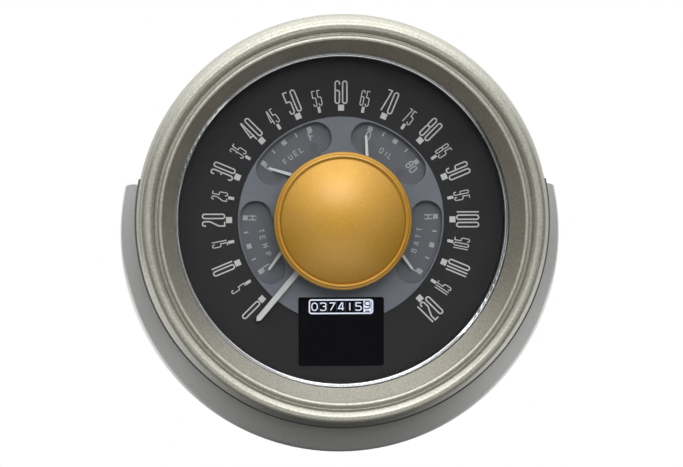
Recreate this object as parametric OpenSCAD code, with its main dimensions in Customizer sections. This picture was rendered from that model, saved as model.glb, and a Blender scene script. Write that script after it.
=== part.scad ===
// Round dash-pod instrument cluster with stepper gauges and a small display
// Lengths in millimetres, angles in degrees
// Pieces are drawn lying on their back, face up, and stood upright by face_forward()
// Standing, the face looks along -Y, the dial axis is Y and the dash panel is the plane Y = 0

/* [Dial] */
// Radius of the dial that shows inside the polished ring
view_r = 83.9; // [82.5:0.1:88]
// Thickness of the black dial plate
dial_t = 1.2; // [0.8:0.1:1.6]
// Width of the inner dial's rim outside its windows
inner_rim_w = 0.7; // [0.6:0.1:2]
// Height of the inner dial above the black dial plate
inner_proud = 1.0; // [0.6:0.1:1.4]
// Radius of the middle hole of the inner dial, hidden by the dome
inner_hole_r = 33.0; // [31.8:0.1:33.5]
// Thickness of the recessed gauge plate
sub_t = 1.2; // [1:0.1:1.6]
// Height from the recessed gauge plate to the back of the black dial plate
sub_gap = 2.3; // [2:0.1:3]
// Reach of the recessed gauge plate under the black dial plate
sub_reach = 6.8; // [5:0.1:9]

/* [Small gauges] */
// Distance of a small gauge's shaft from the dial axis
pivot_r = 24.6; // [24.3:0.1:25.2]
// Direction of the two upper gauges, from the horizontal
upper_mid = 54.5; // [53.5:0.1:55.5]
// Direction of the two lower gauges, below the horizontal
lower_mid = 16.0; // [15:0.1:17]
// Half the angle between the end circles of a bean-shaped window
window_half = 18.2; // [17.5:0.1:19]
// Radius of a window's centre line
window_r = 44.2; // [43.5:0.1:44.4]
// Radius of a window's round ends
window_end_r = 8.3; // [8:0.1:8.5]
// Length of a small needle from its shaft
needle_len = 23.8; // [22:0.1:24.5]
// Width of a small needle at its foot
needle_w = 2.0; // [1.6:0.1:2.4]
// Width of a small needle just behind its point
needle_tip_w = 1.2; // [0.8:0.1:1.5]
// Radius of a small needle's hub
needle_hub_r = 4.4; // [3.5:0.1:4.8]
// Angle of a needle at rest from the middle of its scale
needle_rest = 38.5; // [30:0.5:39]

/* [Speed pointer] */
// Length of the speed pointer from its shaft
pointer_len = 67.9; // [60:0.1:75]
// Width of the speed pointer
pointer_w = 2.8; // [2.2:0.1:3.6]
// Length of the pointer's counterweight
pointer_tail = 14.0; // [10:0.5:20]
// Radius of the pointer's hub
pointer_hub_r = 6.5; // [5:0.1:8]
// Gap between the pointer and the inner dial
pointer_gap = 2.6; // [2:0.1:3.5]
// Direction of the pointer at rest, anticlockwise from the right
pointer_rest = 229.8; // [226:0.1:232]
// Thickness of every pointer blade
blade_t = 1.0; // [0.7:0.1:1.2]

/* [Display] */
// Width of the display window
display_w = 44.5; // [42:0.1:46]
// Distance of the display window's upper edge from the dial axis
display_top = 40.0; // [39:0.1:41]
// Distance from the display window to the polished ring below it
display_margin = 8.1; // [7:0.1:8.5]
// Border of the display module hidden by the dial
display_border = 1.7; // [1.2:0.1:2]
// Thickness of the smoked window
window_t = 1.0; // [0.8:0.1:1.1]

/* [Rings] */
// Width of the polished bead round the dial
trim_w = 2.0; // [1.6:0.1:2.4]
// Thickness of the polished ring's plate
trim_t = 1.2; // [1:0.1:1.5]
// Height of the polished ring's collar, from its plate to the gasket
collar_h = 2.6; // [2:0.1:4]
// Height of the dark wall between the dial and the polished ring
wall_h = 7.4; // [5:0.1:10]
// Radial width of the polished ring's collar
wall_w = 8.0; // [7:0.1:9]
// Thickness of the lens gasket
gasket_t = 0.8; // [0.5:0.1:1.5]
// Thickness of the lens
lens_t = 3.0; // [2:0.1:4]

/* [Dome] */
// Outer radius of the gold dome's rim
dome_r = 35.5; // [35.2:0.1:37]
// Width of the dome's rounded rim
dome_rim_w = 2.9; // [2.4:0.1:3.2]
// Rise of the dome's cap above its groove
dome_rise = 7.5; // [5:0.1:10]
// Wall of the dome
dome_t = 1.4; // [1:0.1:1.8]
// Outer radius of the dome's neck, which passes the lens
neck_r = 30.0; // [29.8:0.1:31]

/* [Bezel] */
// Width of the inner cone, seen from the front
cone_w = 6.2; // [5.5:0.1:6.8]
// Height of the inner cone
cone_h = 9.5; // [8:0.1:11]
// Width of the bead at the top of the cone
bead_w = 2.8; // [2.4:0.1:3.2]
// Width of the groove between the bead and the ridge
groove_w = 0.6; // [0.5:0.1:1]
// Width of the fine ridge between the bead and the roll
ridge_w = 0.9; // [0.8:0.1:1.2]
// Width of the outer lip beside the roll
lip_w = 2.2; // [1.8:0.1:2.6]
// Chamfer of that lip's outer corner
lip_chamfer = 0.6; // [0.3:0.1:1]
// Wall of the bezel
bezel_t = 2.2; // [1.8:0.1:2.4]
// Radius of a screw boss inside the bezel
bezel_boss_r = 3.0; // [2.8:0.1:3.4]
// Number of screws that hold the bezel
bezel_screws_n = 8; // [6:1:8]
// Width of the edge in front of the cowl's seam
edge_w = 0.8; // [0.6:0.1:1.2]
// Thickness of that edge
edge_t = 1.5; // [1.2:0.1:2]
// Height above the dial axis where that edge ends
edge_top = 21.7; // [21:0.1:26]

/* [Cowl] */
// Radius of the cowl's outer wall
cowl_r = 113.6; // [112.5:0.1:116]
// Distance of the cowl's centre below the dial axis
cowl_drop = 7.0; // [6:0.1:9]
// Depth of the cowl's flare, front to back
flare_h = 10.0; // [9.5:0.1:14]
// Sheet thickness of the cowl
cowl_t = 2.0; // [1.5:0.1:2.4]
// Height above the dial axis where the cowl ends
cowl_top = 18.6; // [16:0.1:19]
// Corner radius of the cowl's upper ends
cowl_corner = 7.0; // [5:0.1:9]

/* [Housing] */
// Wall of the housing cup
cup_t = 2.0; // [1.6:0.1:2.4]
// Thickness of the cup's front flange
flange_t = 3.0; // [2.4:0.1:3.6]
// Radial width of the deck that carries the dial
deck_w = 12.5; // [11.5:0.1:13]
// Thickness of the rear cover
cover_t = 2.5; // [2:0.1:3]
// Number of screws that hold the rear cover
cover_screws_n = 6; // [4:1:8]
// Length of the rear cover's screw bosses
cover_boss_h = 11.5; // [9:0.1:14]
// Spacing of the four dash studs
stud_pitch = 100.0; // [90:0.5:104]
// Radius of a dash stud
stud_r = 2.5; // [2:0.1:3]
// Length of a dash stud behind the rear cover
stud_len = 16.0; // [12:0.5:25]
// Depth of the two stiffening rings pressed into the rear cover
press_h = 1.3; // [0.8:0.1:1.6]
// Distance from the outer of those rings to the data jack
press_clear = 6.3; // [5:0.1:8]

/* [Electronics] */
// Thickness of the main board
board_t = 1.6; // [1.2:0.1:2]
// Number of screws that hold the main board
board_screws_n = 8; // [4:1:8]
// Distance from the main board to the light guide
guide_lift = 10.7; // [10.4:0.1:13]
// Thickness of the light guide
guide_t = 3.0; // [2.5:0.1:4]
// Width of a gauge motor's case
motor_w = 22.0; // [20:0.1:22.4]
// Length of a gauge motor's case
motor_len = 27.0; // [25:0.1:28]
// Height of a gauge motor's case
motor_h = 8.0; // [7:0.1:8.6]
// Distance of a motor's shaft from the near end of its case
motor_shaft_in = 7.0; // [6.5:0.1:7.2]
// Radius of a gauge shaft
shaft_r = 0.75; // [0.6:0.05:0.9]
// Length of a gauge shaft inside its motor
shaft_in = 6.0; // [4:0.1:6.5]
// Width of the data jack
jack_w = 16.0; // [15.4:0.1:17]
// Height of the data jack
jack_h = 13.4; // [12.8:0.1:14.5]
// Length of the data jack, from the main board to its mouth
jack_len = 21.6; // [20:0.1:24]
// Width of the jack's plug opening
plug_w = 11.9; // [11.8:0.1:12.2]
// Height of the jack's plug opening
plug_h = 6.9; // [6.6:0.1:7.2]
// Depth of the jack's plug opening
plug_depth = 14.0; // [12:0.1:16]
// Distance of the jack's centre below the dial axis
jack_drop = 56.0; // [50:0.5:62]
// Distance of the ring of backlight lamps from the dial axis
lamp_r = 68.0; // [66:0.1:70]
// Number of backlight lamps
lamps_n = 16; // [8:1:24]
// Width of a lamp
lamp_w = 2.8; // [2:0.1:3.5]
// Width of the processor's package
chip_w = 14.0; // [12:0.5:16]
// Thickness of the processor's package
chip_h = 1.4; // [1:0.1:1.8]
// Radius of a capacitor's can
can_r = 4.0; // [3:0.1:4.5]
// Height of a capacitor's can
can_h = 7.6; // [6:0.1:10]

/* [Hidden] */
$fn = 96;

// Clearances
fit = 0.3; // loose fit of one shell in another
slip = 0.1; // close fit of flat pieces in their openings
run = 0.05; // running and thread clearance on a radius
eps = 0.5; // overshoot of a cut past a face

// M3 screws
m3_r = 1.5;
m3_hole_r = 1.65;
m3_head_r = 2.8;
m3_head_h = 1.8;
m3_sink_h = 1.5;

// Levels above the dash panel, towards the reader
mouth_in = 0.4; // the jack's mouth lies this far inside the cover's face
board_z = mouth_in + jack_len;
board_front = board_z + board_t;
guide_z = board_front + guide_lift;
sub_z = guide_z + guide_t;
sub_face = sub_z + sub_t;
dial_z = sub_face + sub_gap;
dial_face = dial_z + dial_t;
inner_face = dial_face + inner_proud;
trim_z = dial_face + wall_h;
cup_front = trim_z + trim_t + collar_h;
lens_z = cup_front + gasket_t;
lens_face = lens_z + lens_t;
flange_z = cup_front - flange_t;
motor_top = board_front + motor_h;
needle_z = sub_face + 1.1;
pointer_z = inner_face + pointer_gap;
hub_under = 0.4; // a hub reaches this far below its blade
needle_hub_top = inner_face + 0.5;
pointer_hub_h = 3.3;
neck_end = pointer_z + pointer_hub_h + 3.0;

// Radii
inner_r = window_r + window_end_r + inner_rim_w;
sub_r = inner_r + sub_reach;
wall_r = view_r + trim_w + fit;
ring_r = wall_r + wall_w;
cup_ri = ring_r + fit;
cup_ro = cup_ri + cup_t;
screw_ring_r = cup_ro + bezel_boss_r + 0.1;
bezel_ri = screw_ring_r + bezel_boss_r + 0.8;
bezel_r = bezel_ri + bezel_t;
flange_r = bezel_r - fit;
lens_r = cup_ri + 1.0;
deck_ri = cup_ri - deck_w;
guide_r = deck_ri + 2.9;
guide_posts_n = 6;
board_r = cup_ri - 1.5;
board_screw_r = cup_ri - 5.0;
cover_r = ring_r;
cover_screw_r = cup_ri - 4.1;
stud_neck_r = stud_r + 0.3;
press_round = 3.0;
press_out_r = jack_drop - jack_h / 2 - press_clear;
press_r = [0.7 * press_out_r, press_out_r];
dial_hole_r = inner_r + slip;

// Bezel section
cone_r0 = view_r + trim_w - slip;
cone_r1 = cone_r0 + cone_w;
cone_top = lens_face + cone_h;
bead_r = bead_w / 2;
ridge_mid = cone_r1 + bead_w + groove_w + ridge_w / 2;
roll_r0 = ridge_mid + ridge_w / 2;
roll_r1 = bezel_r - lip_w;
roll_r = (roll_r1 - roll_r0) / 2;
bead_up = 0.75; // the bead's centre above the top of the cone
roll_up = 0.15; // the roll's centre above the top of the cone
roll_over = 0.35; // the roll overhangs its own side by this much
lip_z = cup_front + 7.4;

// Cowl: its wall is round about an axis cowl_drop below the dial axis, its rim about the dial axis
cowl_front = cup_front - 0.2;
cowl_rim_r = bezel_r + 1.3;
cowl_clear_r = bezel_r + fit;
ledge_t = 2.0;
ledge_z = flange_z - ledge_t;
ledge_ri = cup_ro + 1.5;
shoulder_r = 5.0;
shoulder_steps = 10;
cone_in_r = cowl_rim_r - cowl_drop;
flare_turn = atan((cowl_r - cone_in_r) / flare_h);
shoulder_drop = (shoulder_r + (cowl_r - shoulder_r - cone_in_r) * cos(flare_turn)) / sin(flare_turn);
shoulder_z = cowl_front - shoulder_drop;

// Dome
dome_groove_r = dome_r - dome_rim_w;
rim_r = dome_rim_w / 2;
groove_z = lens_face + 1.3;
cap_r = (pow(dome_groove_r, 2) + pow(dome_rise, 2)) / (2 * dome_rise);
neck_t = 2.0;
neck_ri = neck_r - neck_t;
retainer_w = 3.4;
retainer_t = 1.6;

// Display
display_h = view_r - display_margin - display_top;
display_drop = display_top + display_h / 2;
panel_w = display_w + 2 * display_border;
panel_h = display_h + 2 * display_border;
header_w = 20.0;
header_t = 4.0;
header_drop = 8.0; // the header lies this far below the display's centre

// Gauges: direction of the middle of the scale, and the side on which the needle rests
fuel_mid = 180 - upper_mid;
oil_mid = upper_mid;
temp_mid = 180 + lower_mid;
batt_mid = -lower_mid;
mids = [fuel_mid, oil_mid, temp_mid, batt_mid];

// Helpers

// Stands a piece that is drawn lying on its back upright, with its face towards -Y
module face_forward() {
    rotate([90, 0, 0]) children();
}

// Repeats a piece round the dial axis
module ring_of(n, r, first = 0) {
    for (i = [0:n - 1])
        rotate(first + i * 360 / n) translate([r, 0, 0]) children();
}

// A flat ring from z0 up
module flat_ring(r_out, r_in, z0, h) {
    translate([0, 0, z0]) difference() {
        cylinder(r = r_out, h = h);
        translate([0, 0, -eps]) cylinder(r = r_in, h = h + 2 * eps);
    }
}

// A round bar from z0 up, used for bosses, posts and holes
module rod(r, z0, h) {
    translate([0, 0, z0]) cylinder(r = r, h = h, $fn = 32);
}

// Points of a rectangle round the origin with four cut corners
function cut_box(w, h, c) = [
    [w / 2 - c, -h / 2], [w / 2, c - h / 2], [w / 2, h / 2 - c], [w / 2 - c, h / 2],
    [c - w / 2, h / 2], [-w / 2, h / 2 - c], [-w / 2, c - h / 2], [c - w / 2, -h / 2]
];

// Places a piece at the shaft of the small gauge whose scale has its middle at mid
module at_gauge(mid) {
    rotate(mid) translate([pivot_r, 0, 0]) children();
}

// Bezel

// Section of the bezel: cone, bead, fine ridge, roll, lip and side wall, hollow behind
module bezel_section() {
    roof_z = cone_top - bezel_t - 0.5;
    side_x = roll_r1 - roll_over;
    slope_w = bezel_t * sqrt(pow(cone_w, 2) + pow(cone_h, 2)) / cone_h;
    cone_in = cone_r0 + slope_w;
    polygon([
        [cone_r0, lens_face],
        [cone_r1, cone_top],
        [side_x, cone_top],
        [side_x, lip_z],
        [bezel_r - lip_chamfer, lip_z],
        [bezel_r, lip_z - lip_chamfer],
        [bezel_r, cup_front],
        [bezel_ri, cup_front],
        [bezel_ri, lip_z - bezel_t],
        [side_x - bezel_t, lip_z - bezel_t],
        [side_x - bezel_t, roof_z],
        [cone_in + cone_w * (roof_z - lens_face) / cone_h, roof_z],
        [cone_in, lens_face]
    ]);
    translate([cone_r1 + bead_r, cone_top + bead_up]) circle(r = bead_r);
    translate([ridge_mid, cone_top]) circle(r = 0.4 * ridge_w);
    translate([roll_r0 + roll_r, cone_top + roll_up]) circle(r = roll_r);
}

module bezel() {
    edge_end = asin(edge_top / (bezel_r + edge_w));
    color("#a3a394") face_forward() difference() {
        union() {
            rotate_extrude() bezel_section();
            rotate_extrude(start = 180 - edge_end, angle = 180 + 2 * edge_end)
                translate([bezel_r - 1.0, cup_front]) square([1.0 + edge_w, edge_t]);
            ring_of(bezel_screws_n, screw_ring_r, 180 / bezel_screws_n)
                translate([0, 0, cup_front])
                    cylinder(r = bezel_boss_r, h = cone_top - cup_front - bezel_t, $fn = 32);
        }
        ring_of(bezel_screws_n, screw_ring_r, 180 / bezel_screws_n)
            rod(m3_r + run, cup_front - eps, 8.8 + eps);
    }
}

// Screws from behind, through the cup's flange and, low down, the cowl's ledge
module bezel_screws() {
    color("#9a9da0") face_forward()
        for (i = [0:bezel_screws_n - 1]) {
            turn = (i + 0.5) * 360 / bezel_screws_n;
            low = screw_ring_r * sin(turn) < cowl_top;
            rotate(turn)
                translate([screw_ring_r, 0, low ? ledge_z : flange_z]) pan_screw(10.0);
        }
}

// A pan-head screw whose head hangs below the origin and whose shank rises
module pan_screw(len) {
    translate([0, 0, -m3_head_h]) difference() {
        cylinder(r = m3_head_r, h = m3_head_h, $fn = 32);
        translate([0, 0, -eps]) cylinder(r = 1.1, h = 1.2 + eps, $fn = 6);
    }
    cylinder(r = m3_r, h = len, $fn = 32);
}

// Cowl

// Points of the rounded shoulder between the cowl's wall and its cone, drawn inset mm inside the skin
function shoulder(inset) = [
    for (i = [0:shoulder_steps])
        let (a = i * flare_turn / shoulder_steps)
            [cowl_r - shoulder_r + (shoulder_r - inset) * cos(a),
             shoulder_z + (shoulder_r - inset) * sin(a)]
];

// Solid of revolution of the cowl's skin, inset mm inside it, from z0 to z1
module cowl_solid(inset, z0, z1) {
    skin = shoulder(inset);
    last = skin[shoulder_steps];
    run_in = (z1 - last[1]) * tan(flare_turn);
    translate([0, -cowl_drop, 0]) rotate_extrude()
        polygon(concat([[0, z0], [cowl_r - inset, z0]], skin, [[last[0] - run_in, z1], [0, z1]]));
}

// Front outline of the cowl: open above, with rounded upper ends
module cowl_outline() {
    side = cowl_r + 0.3;
    translate([-side, -cowl_drop - side])
        square([2 * side, side + cowl_drop + cowl_top - cowl_corner]);
    translate([cowl_corner - side, 0]) square([2 * (side - cowl_corner), cowl_top]);
    for (s = [-1, 1])
        translate([s * (side - cowl_corner), cowl_top - cowl_corner]) circle(r = cowl_corner);
}

module lower_cowl() {
    color("#a9aaa8") face_forward() difference() {
        intersection() {
            union() {
                cowl_solid(0, 0, cowl_front);
                translate([0, 0, ledge_z]) cylinder(r = cowl_rim_r, h = cowl_front - ledge_z);
            }
            translate([0, 0, -1]) linear_extrude(cowl_front + 2) cowl_outline();
        }
        cowl_solid(cowl_t, -1, ledge_z);
        translate([0, 0, flange_z]) cylinder(r = cowl_clear_r, h = flange_t + 1);
        translate([0, 0, -1]) cylinder(r = ledge_ri, h = cowl_front + 2);
        ring_of(bezel_screws_n, screw_ring_r, 180 / bezel_screws_n)
            rod(m3_hole_r, ledge_z - eps, ledge_t + 2 * eps);
    }
}

// Housing

module housing_cup() {
    color("#26272a") face_forward() difference() {
        union() {
            flat_ring(cup_ro, cup_ri, 0, cup_front);
            flat_ring(flange_r, cup_ri, flange_z, flange_t);
            flat_ring(cup_ri + 0.5, deck_ri, sub_z, sub_t + sub_gap);
            ring_of(board_screws_n, board_screw_r, 180 / board_screws_n)
                rod(4.0, board_front, guide_lift + guide_t + 1.0);
            ring_of(cover_screws_n, cover_screw_r)
                rod(4.5, cover_t, cover_boss_h);
        }
        ring_of(bezel_screws_n, screw_ring_r, 180 / bezel_screws_n)
            rod(m3_hole_r, flange_z - eps, flange_t + 2 * eps);
        ring_of(board_screws_n, board_screw_r, 180 / board_screws_n)
            rod(m3_r + run, board_front - eps, 9.0 + eps);
        ring_of(cover_screws_n, cover_screw_r)
            rod(m3_r + run, cover_t - eps, 8.5 + eps);
    }
}

// Ring pressed inwards, whose groove shows from behind: grown by extra on every side
module press_ring(r, extra) {
    rotate_extrude() intersection() {
        translate([r, press_h - press_round]) circle(r = press_round + extra);
        translate([r - 10, extra > 0 ? 0.2 : -eps]) square([20, 20]);
    }
}

module rear_cover() {
    color("#b4b7b8") face_forward() difference() {
        union() {
            cylinder(r = cover_r, h = cover_t);
            for (r = press_r)
                press_ring(r, cover_t);
        }
        for (r = press_r)
            press_ring(r, 0);
        ring_of(cover_screws_n, cover_screw_r) {
            rod(m3_hole_r, -eps, cover_t + 2 * eps);
            translate([0, 0, -0.01])
                cylinder(r1 = m3_head_r + 0.1, r2 = m3_hole_r, h = m3_sink_h, $fn = 32);
        }
        for (x = [-1, 1], y = [-1, 1])
            translate([x * stud_pitch / 2, y * stud_pitch / 2, 0])
                rod(stud_neck_r + run, -eps, cover_t + 2 * eps);
        translate([-jack_w / 2 - fit, -jack_drop - jack_h / 2 - fit, -eps])
            cube([jack_w + 2 * fit, jack_h + 2 * fit, cover_t + 2 * eps]);
    }
}

// Countersunk screws, flush with the rear cover
module cover_screws() {
    color("#9a9da0") face_forward() ring_of(cover_screws_n, cover_screw_r) difference() {
        union() {
            cylinder(r1 = m3_head_r, r2 = m3_r, h = m3_sink_h - 0.1, $fn = 32);
            rod(m3_r, 0, 10.0);
        }
        translate([0, 0, -eps]) cylinder(r = 1.0, h = 1.1 + eps, $fn = 6);
    }
}

// Press-in studs: a chamfered point, a thicker neck in the rear cover and a flat head inside it
module dash_studs() {
    chamfer = 0.6;
    color("#c2a860") face_forward()
        for (x = [-1, 1], y = [-1, 1])
            translate([x * stud_pitch / 2, y * stud_pitch / 2, 0]) {
                translate([0, 0, -stud_len])
                    cylinder(r1 = stud_r - chamfer, r2 = stud_r, h = chamfer, $fn = 32);
                rod(stud_r, chamfer - stud_len, stud_len - chamfer);
                rod(stud_neck_r, 0, cover_t);
                rod(2.4 * stud_r, cover_t, 2.0);
            }
}

// Lens and dome

module lens() {
    color("#dfe8ea", 0.35) face_forward() flat_ring(lens_r, neck_r + slip, lens_z, lens_t);
}

module lens_gasket() {
    color("#1b1b1b") face_forward() flat_ring(lens_r - 0.4, wall_r + 0.2, cup_front, gasket_t);
}

// Section of the dome: cap, groove, rounded rim and neck
module dome_section() {
    cap_z = groove_z + dome_rise - cap_r;
    difference() {
        intersection() {
            translate([0, cap_z]) circle(r = cap_r, $fn = 256);
            translate([0, groove_z - 0.4]) square([dome_groove_r - 0.2, dome_rise + 1.0]);
        }
        intersection() {
            translate([0, cap_z]) circle(r = cap_r - dome_t, $fn = 256);
            square([neck_ri, groove_z + dome_rise]);
        }
        translate([-1, 0]) square([neck_ri + 1, groove_z]);
    }
    translate([neck_ri, lens_face]) square([dome_r - rim_r - neck_ri, groove_z - lens_face]);
    translate([neck_ri, neck_end]) square([neck_t, lens_face - neck_end]);
    intersection() {
        translate([dome_r - rim_r, lens_face + 0.9]) circle(r = rim_r);
        translate([dome_r - 2 * rim_r, lens_face]) square([2 * rim_r, 2 * rim_r + 1]);
    }
}

module dome_cap() {
    color("#d3a347") face_forward() rotate_extrude() dome_section();
}

// Ring pressed on the dome's neck, behind the lens
module dome_retainer() {
    color("#1d1e20") face_forward()
        flat_ring(neck_r + retainer_w, neck_r + 0.02, lens_z - retainer_t, retainer_t);
}

// Rings round the dial

// Polished ring: a plate with a half-round bead at its inner edge and a collar that meets the gasket
module trim_ring() {
    bead = trim_w / 2;
    color("#d9dadb") face_forward() rotate_extrude() {
        translate([view_r + bead, trim_z]) square([ring_r - view_r - bead, trim_t]);
        translate([wall_r, trim_z]) square([ring_r - wall_r, trim_t + collar_h]);
        intersection() {
            translate([view_r + bead, trim_z + 0.8 * bead]) circle(r = bead);
            translate([view_r, trim_z]) square([trim_w, trim_w]);
        }
    }
}

module spacer_ring() {
    color("#141416") face_forward() flat_ring(ring_r, view_r, dial_face, wall_h);
}

// Dials

// Opening for the display, grown by extra on every side
module display_opening(z0, h, extra) {
    translate([0, -display_drop, z0]) linear_extrude(h)
        polygon(cut_box(display_w + 2 * extra, display_h + 2 * extra, 0.6));
}

module dial_ring() {
    color("#2b2b2e") face_forward() difference() {
        flat_ring(ring_r, dial_hole_r, dial_z, dial_t);
        display_opening(dial_z - eps, dial_t + 2 * eps, 0);
    }
}

// Outline of one bean-shaped window, open towards the dome so that the needle can swing
module bean_window() {
    reach = window_r + window_end_r;
    span = window_r * cos(window_half);
    intersection() {
        difference() {
            circle(r = reach);
            circle(r = inner_hole_r - 1.0);
        }
        polygon([
            [0, 0],
            [2 * span, -2 * span * tan(window_half)],
            [2 * span, 2 * span * tan(window_half)]
        ]);
    }
    for (s = [-1, 1])
        rotate(s * window_half) translate([window_r, 0]) circle(r = window_end_r - 0.05);
}

module inner_dial() {
    thick = inner_face - sub_face;
    color("#70757c") face_forward() difference() {
        flat_ring(inner_r, inner_hole_r, sub_face, thick);
        for (mid = mids)
            rotate(mid) translate([0, 0, sub_face - eps])
                linear_extrude(thick + 2 * eps) bean_window();
        display_opening(sub_face - eps, thick + 2 * eps, 0);
        display_opening(sub_face - eps, sub_gap + eps, display_border + fit);
    }
}

// Recessed plate that carries the four small scales, with a raised rim under the black dial
module sub_dial() {
    thick = sub_t + sub_gap;
    color("#55585c") face_forward() difference() {
        union() {
            translate([0, 0, sub_z]) cylinder(r = sub_r, h = sub_t);
            flat_ring(sub_r, dial_hole_r, sub_z, thick);
        }
        rod(2.2, sub_z - eps, sub_t + 2 * eps);
        for (mid = mids)
            at_gauge(mid) rod(1.8, sub_z - eps, sub_t + 2 * eps);
        display_opening(sub_z - eps, thick + 2 * eps, display_border + fit);
    }
}

// Display

module display_window() {
    color("#0c0c10") face_forward() display_opening(dial_z, window_t, -slip);
}

// Display module: backlight frame with a thinner glass in front
module display_panel() {
    color("#3a3c40") face_forward() translate([0, -display_drop, sub_z]) {
        translate([-panel_w / 2, -panel_h / 2, 0]) cube([panel_w, panel_h, sub_t + sub_gap - 0.6]);
        translate([-display_w / 2, -display_h / 2, sub_t + sub_gap - 0.6])
            cube([display_w, display_h, 0.6]);
    }
}

// Block at the header's place, grown by extra on every side
module header_block(z0, h, extra) {
    w = header_w + 2 * extra;
    t = header_t + 2 * extra;
    translate([-w / 2, -display_drop - header_drop - t / 2, z0]) cube([w, t, h]);
}

// Header that joins the display to the main board
module display_header() {
    color("#1c1d1f") face_forward() header_block(board_front, guide_lift + guide_t, 0);
}

// Light guide: a clear plate on posts that stand on the main board
module light_guide() {
    color("#e6ecee", 0.5) face_forward() {
        difference() {
            translate([0, 0, guide_z]) cylinder(r = guide_r, h = guide_t);
            rod(2.2, guide_z - eps, guide_t + 2 * eps);
            for (mid = mids)
                at_gauge(mid) rod(1.8, guide_z - eps, guide_t + 2 * eps);
            header_block(guide_z - eps, guide_t + 2 * eps, fit);
        }
        ring_of(guide_posts_n, guide_r - 5.0, 30) rod(2.5, board_front, guide_lift + 1.0);
    }
}

// Electronics

module main_board() {
    color("#1f5c3a") face_forward() difference() {
        translate([0, 0, board_z]) cylinder(r = board_r, h = board_t);
        ring_of(board_screws_n, board_screw_r, 180 / board_screws_n)
            rod(m3_hole_r, board_z - eps, board_t + 2 * eps);
    }
}

module board_screws() {
    color("#9a9da0") face_forward()
        ring_of(board_screws_n, board_screw_r, 180 / board_screws_n)
            translate([0, 0, board_z]) pan_screw(8.0);
}

// Chips on the back of the board: place as a share of the board's radius, and size as a share
// of the processor's: processor, motor driver, regulator, memory
module board_chips() {
    chips = [[-0.24, 0.11, 1.0, 1.0], [0.17, 0.17, 0.64, 0.9], [0.37, -0.15, 0.7, 1.6],
        [-0.47, -0.24, 0.5, 1.1]];
    color("#17181a") face_forward()
        for (c = chips) {
            w = c[2] * chip_w;
            h = c[3] * chip_h;
            translate([c[0] * board_r - w / 2, c[1] * board_r - w / 2, board_z - h])
                cube([w, w, h]);
        }
}

module capacitors() {
    base_w = 2 * can_r + 0.6;
    base_h = 0.18 * can_h;
    color("#8d9299") face_forward()
        for (p = [[0.56, -0.09], [0.56, 0.07], [-0.62, 0.04]])
            translate([p[0] * board_r, p[1] * board_r, board_z - base_h]) {
                translate([0, 0, -can_h]) cylinder(r = can_r, h = can_h, $fn = 32);
                translate([-base_w / 2, -base_w / 2, 0]) cube([base_w, base_w, base_h]);
            }
}

// A lamp package on the front of the board, centred on the origin
module lamp_package() {
    translate([-lamp_w / 2, -lamp_w / 2, board_front]) cube([lamp_w, lamp_w, 0.65 * lamp_w]);
}

module backlight_lamps() {
    color("#e9e4c8") face_forward() ring_of(lamps_n, lamp_r, 180 / lamps_n) lamp_package();
}

// One lamp behind each end of every window
module telltale_lamps() {
    color("#e9e4c8") face_forward()
        for (mid = mids, s = [-1, 1])
            rotate(mid + s * (window_half + 0.6)) translate([window_r, 0, 0]) lamp_package();
}

// Modular jack: a block with the plug's opening and the slot of its latch
module data_jack() {
    color("#202225") face_forward() translate([0, -jack_drop, mouth_in]) difference() {
        translate([-jack_w / 2, -jack_h / 2, 0]) cube([jack_w, jack_h, jack_len]);
        translate([-plug_w / 2, -plug_h / 2, -eps]) cube([plug_w, plug_h, plug_depth + eps]);
        translate([-3.2, plug_h / 2 - 0.1, -eps]) cube([6.4, 1.7, plug_depth - 2.0 + eps]);
    }
}

// Eight spring contacts in the jack
module jack_contacts() {
    color("#d8b65a") face_forward() translate([0, -jack_drop - plug_h / 2, mouth_in])
        for (i = [-3.5:1:3.5])
            translate([i * 1.02 - 0.2, 0, 3.0]) cube([0.4, 0.7, plug_depth - 3.0]);
}

// Gauge motors

// Case of a stepper motor with its shaft on the origin and its body along +X
module motor_case() {
    bush_h = 1.5;
    color("#e4e2d8") difference() {
        translate([0, 0, board_front]) {
            translate([motor_len / 2 - motor_shaft_in, 0, 0])
                linear_extrude(motor_h - 1.0) polygon(cut_box(motor_len, motor_w, 4.0));
            translate([motor_len / 2 - motor_shaft_in, 0, motor_h - 1.0])
                linear_extrude(1.0) polygon(cut_box(motor_len - 1.6, motor_w - 1.6, 3.6));
            rod(2.4, motor_h - 1.0, 1.0 + bush_h);
        }
        rod(shaft_r + run, motor_top - shaft_in - 0.3, shaft_in + bush_h + eps + 0.3);
    }
}

module speed_motor() {
    face_forward() rotate(-90) motor_case();
}

module fuel_motor() {
    face_forward() at_gauge(fuel_mid) motor_case();
}

module oil_motor() {
    face_forward() at_gauge(oil_mid) motor_case();
}

module temp_motor() {
    face_forward() at_gauge(temp_mid) motor_case();
}

module batt_motor() {
    face_forward() at_gauge(batt_mid) motor_case();
}

// Shafts and pointers

// Shaft that ends top mm above the dash panel
module gauge_shaft(top) {
    color("#b9bcc0") translate([0, 0, motor_top - shaft_in])
        cylinder(r = shaft_r, h = top - motor_top + shaft_in, $fn = 32);
}

// Blade along +X: a straight bar that narrows from w0 to w1 and ends in a point
module blade(len, w0, w1, tail) {
    point = 0.6 * w1;
    linear_extrude(blade_t) polygon([
        [-tail, -w0 / 2], [len - point, -w1 / 2], [len, 0],
        [len - point, w1 / 2], [-tail, w0 / 2]
    ]);
}

// Small needle with its hub, pointing along +X
module needle() {
    color("#c9cbcb") difference() {
        union() {
            translate([0, 0, needle_z]) blade(needle_len, needle_w, needle_tip_w, 0);
            translate([0, 0, needle_z - hub_under])
                cylinder(r = needle_hub_r, h = needle_hub_top - needle_z + hub_under);
        }
        rod(shaft_r + 0.01, needle_z - 2.0, 4.0);
    }
}

module speed_shaft() {
    face_forward() gauge_shaft(pointer_z + 2.0);
}

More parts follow.
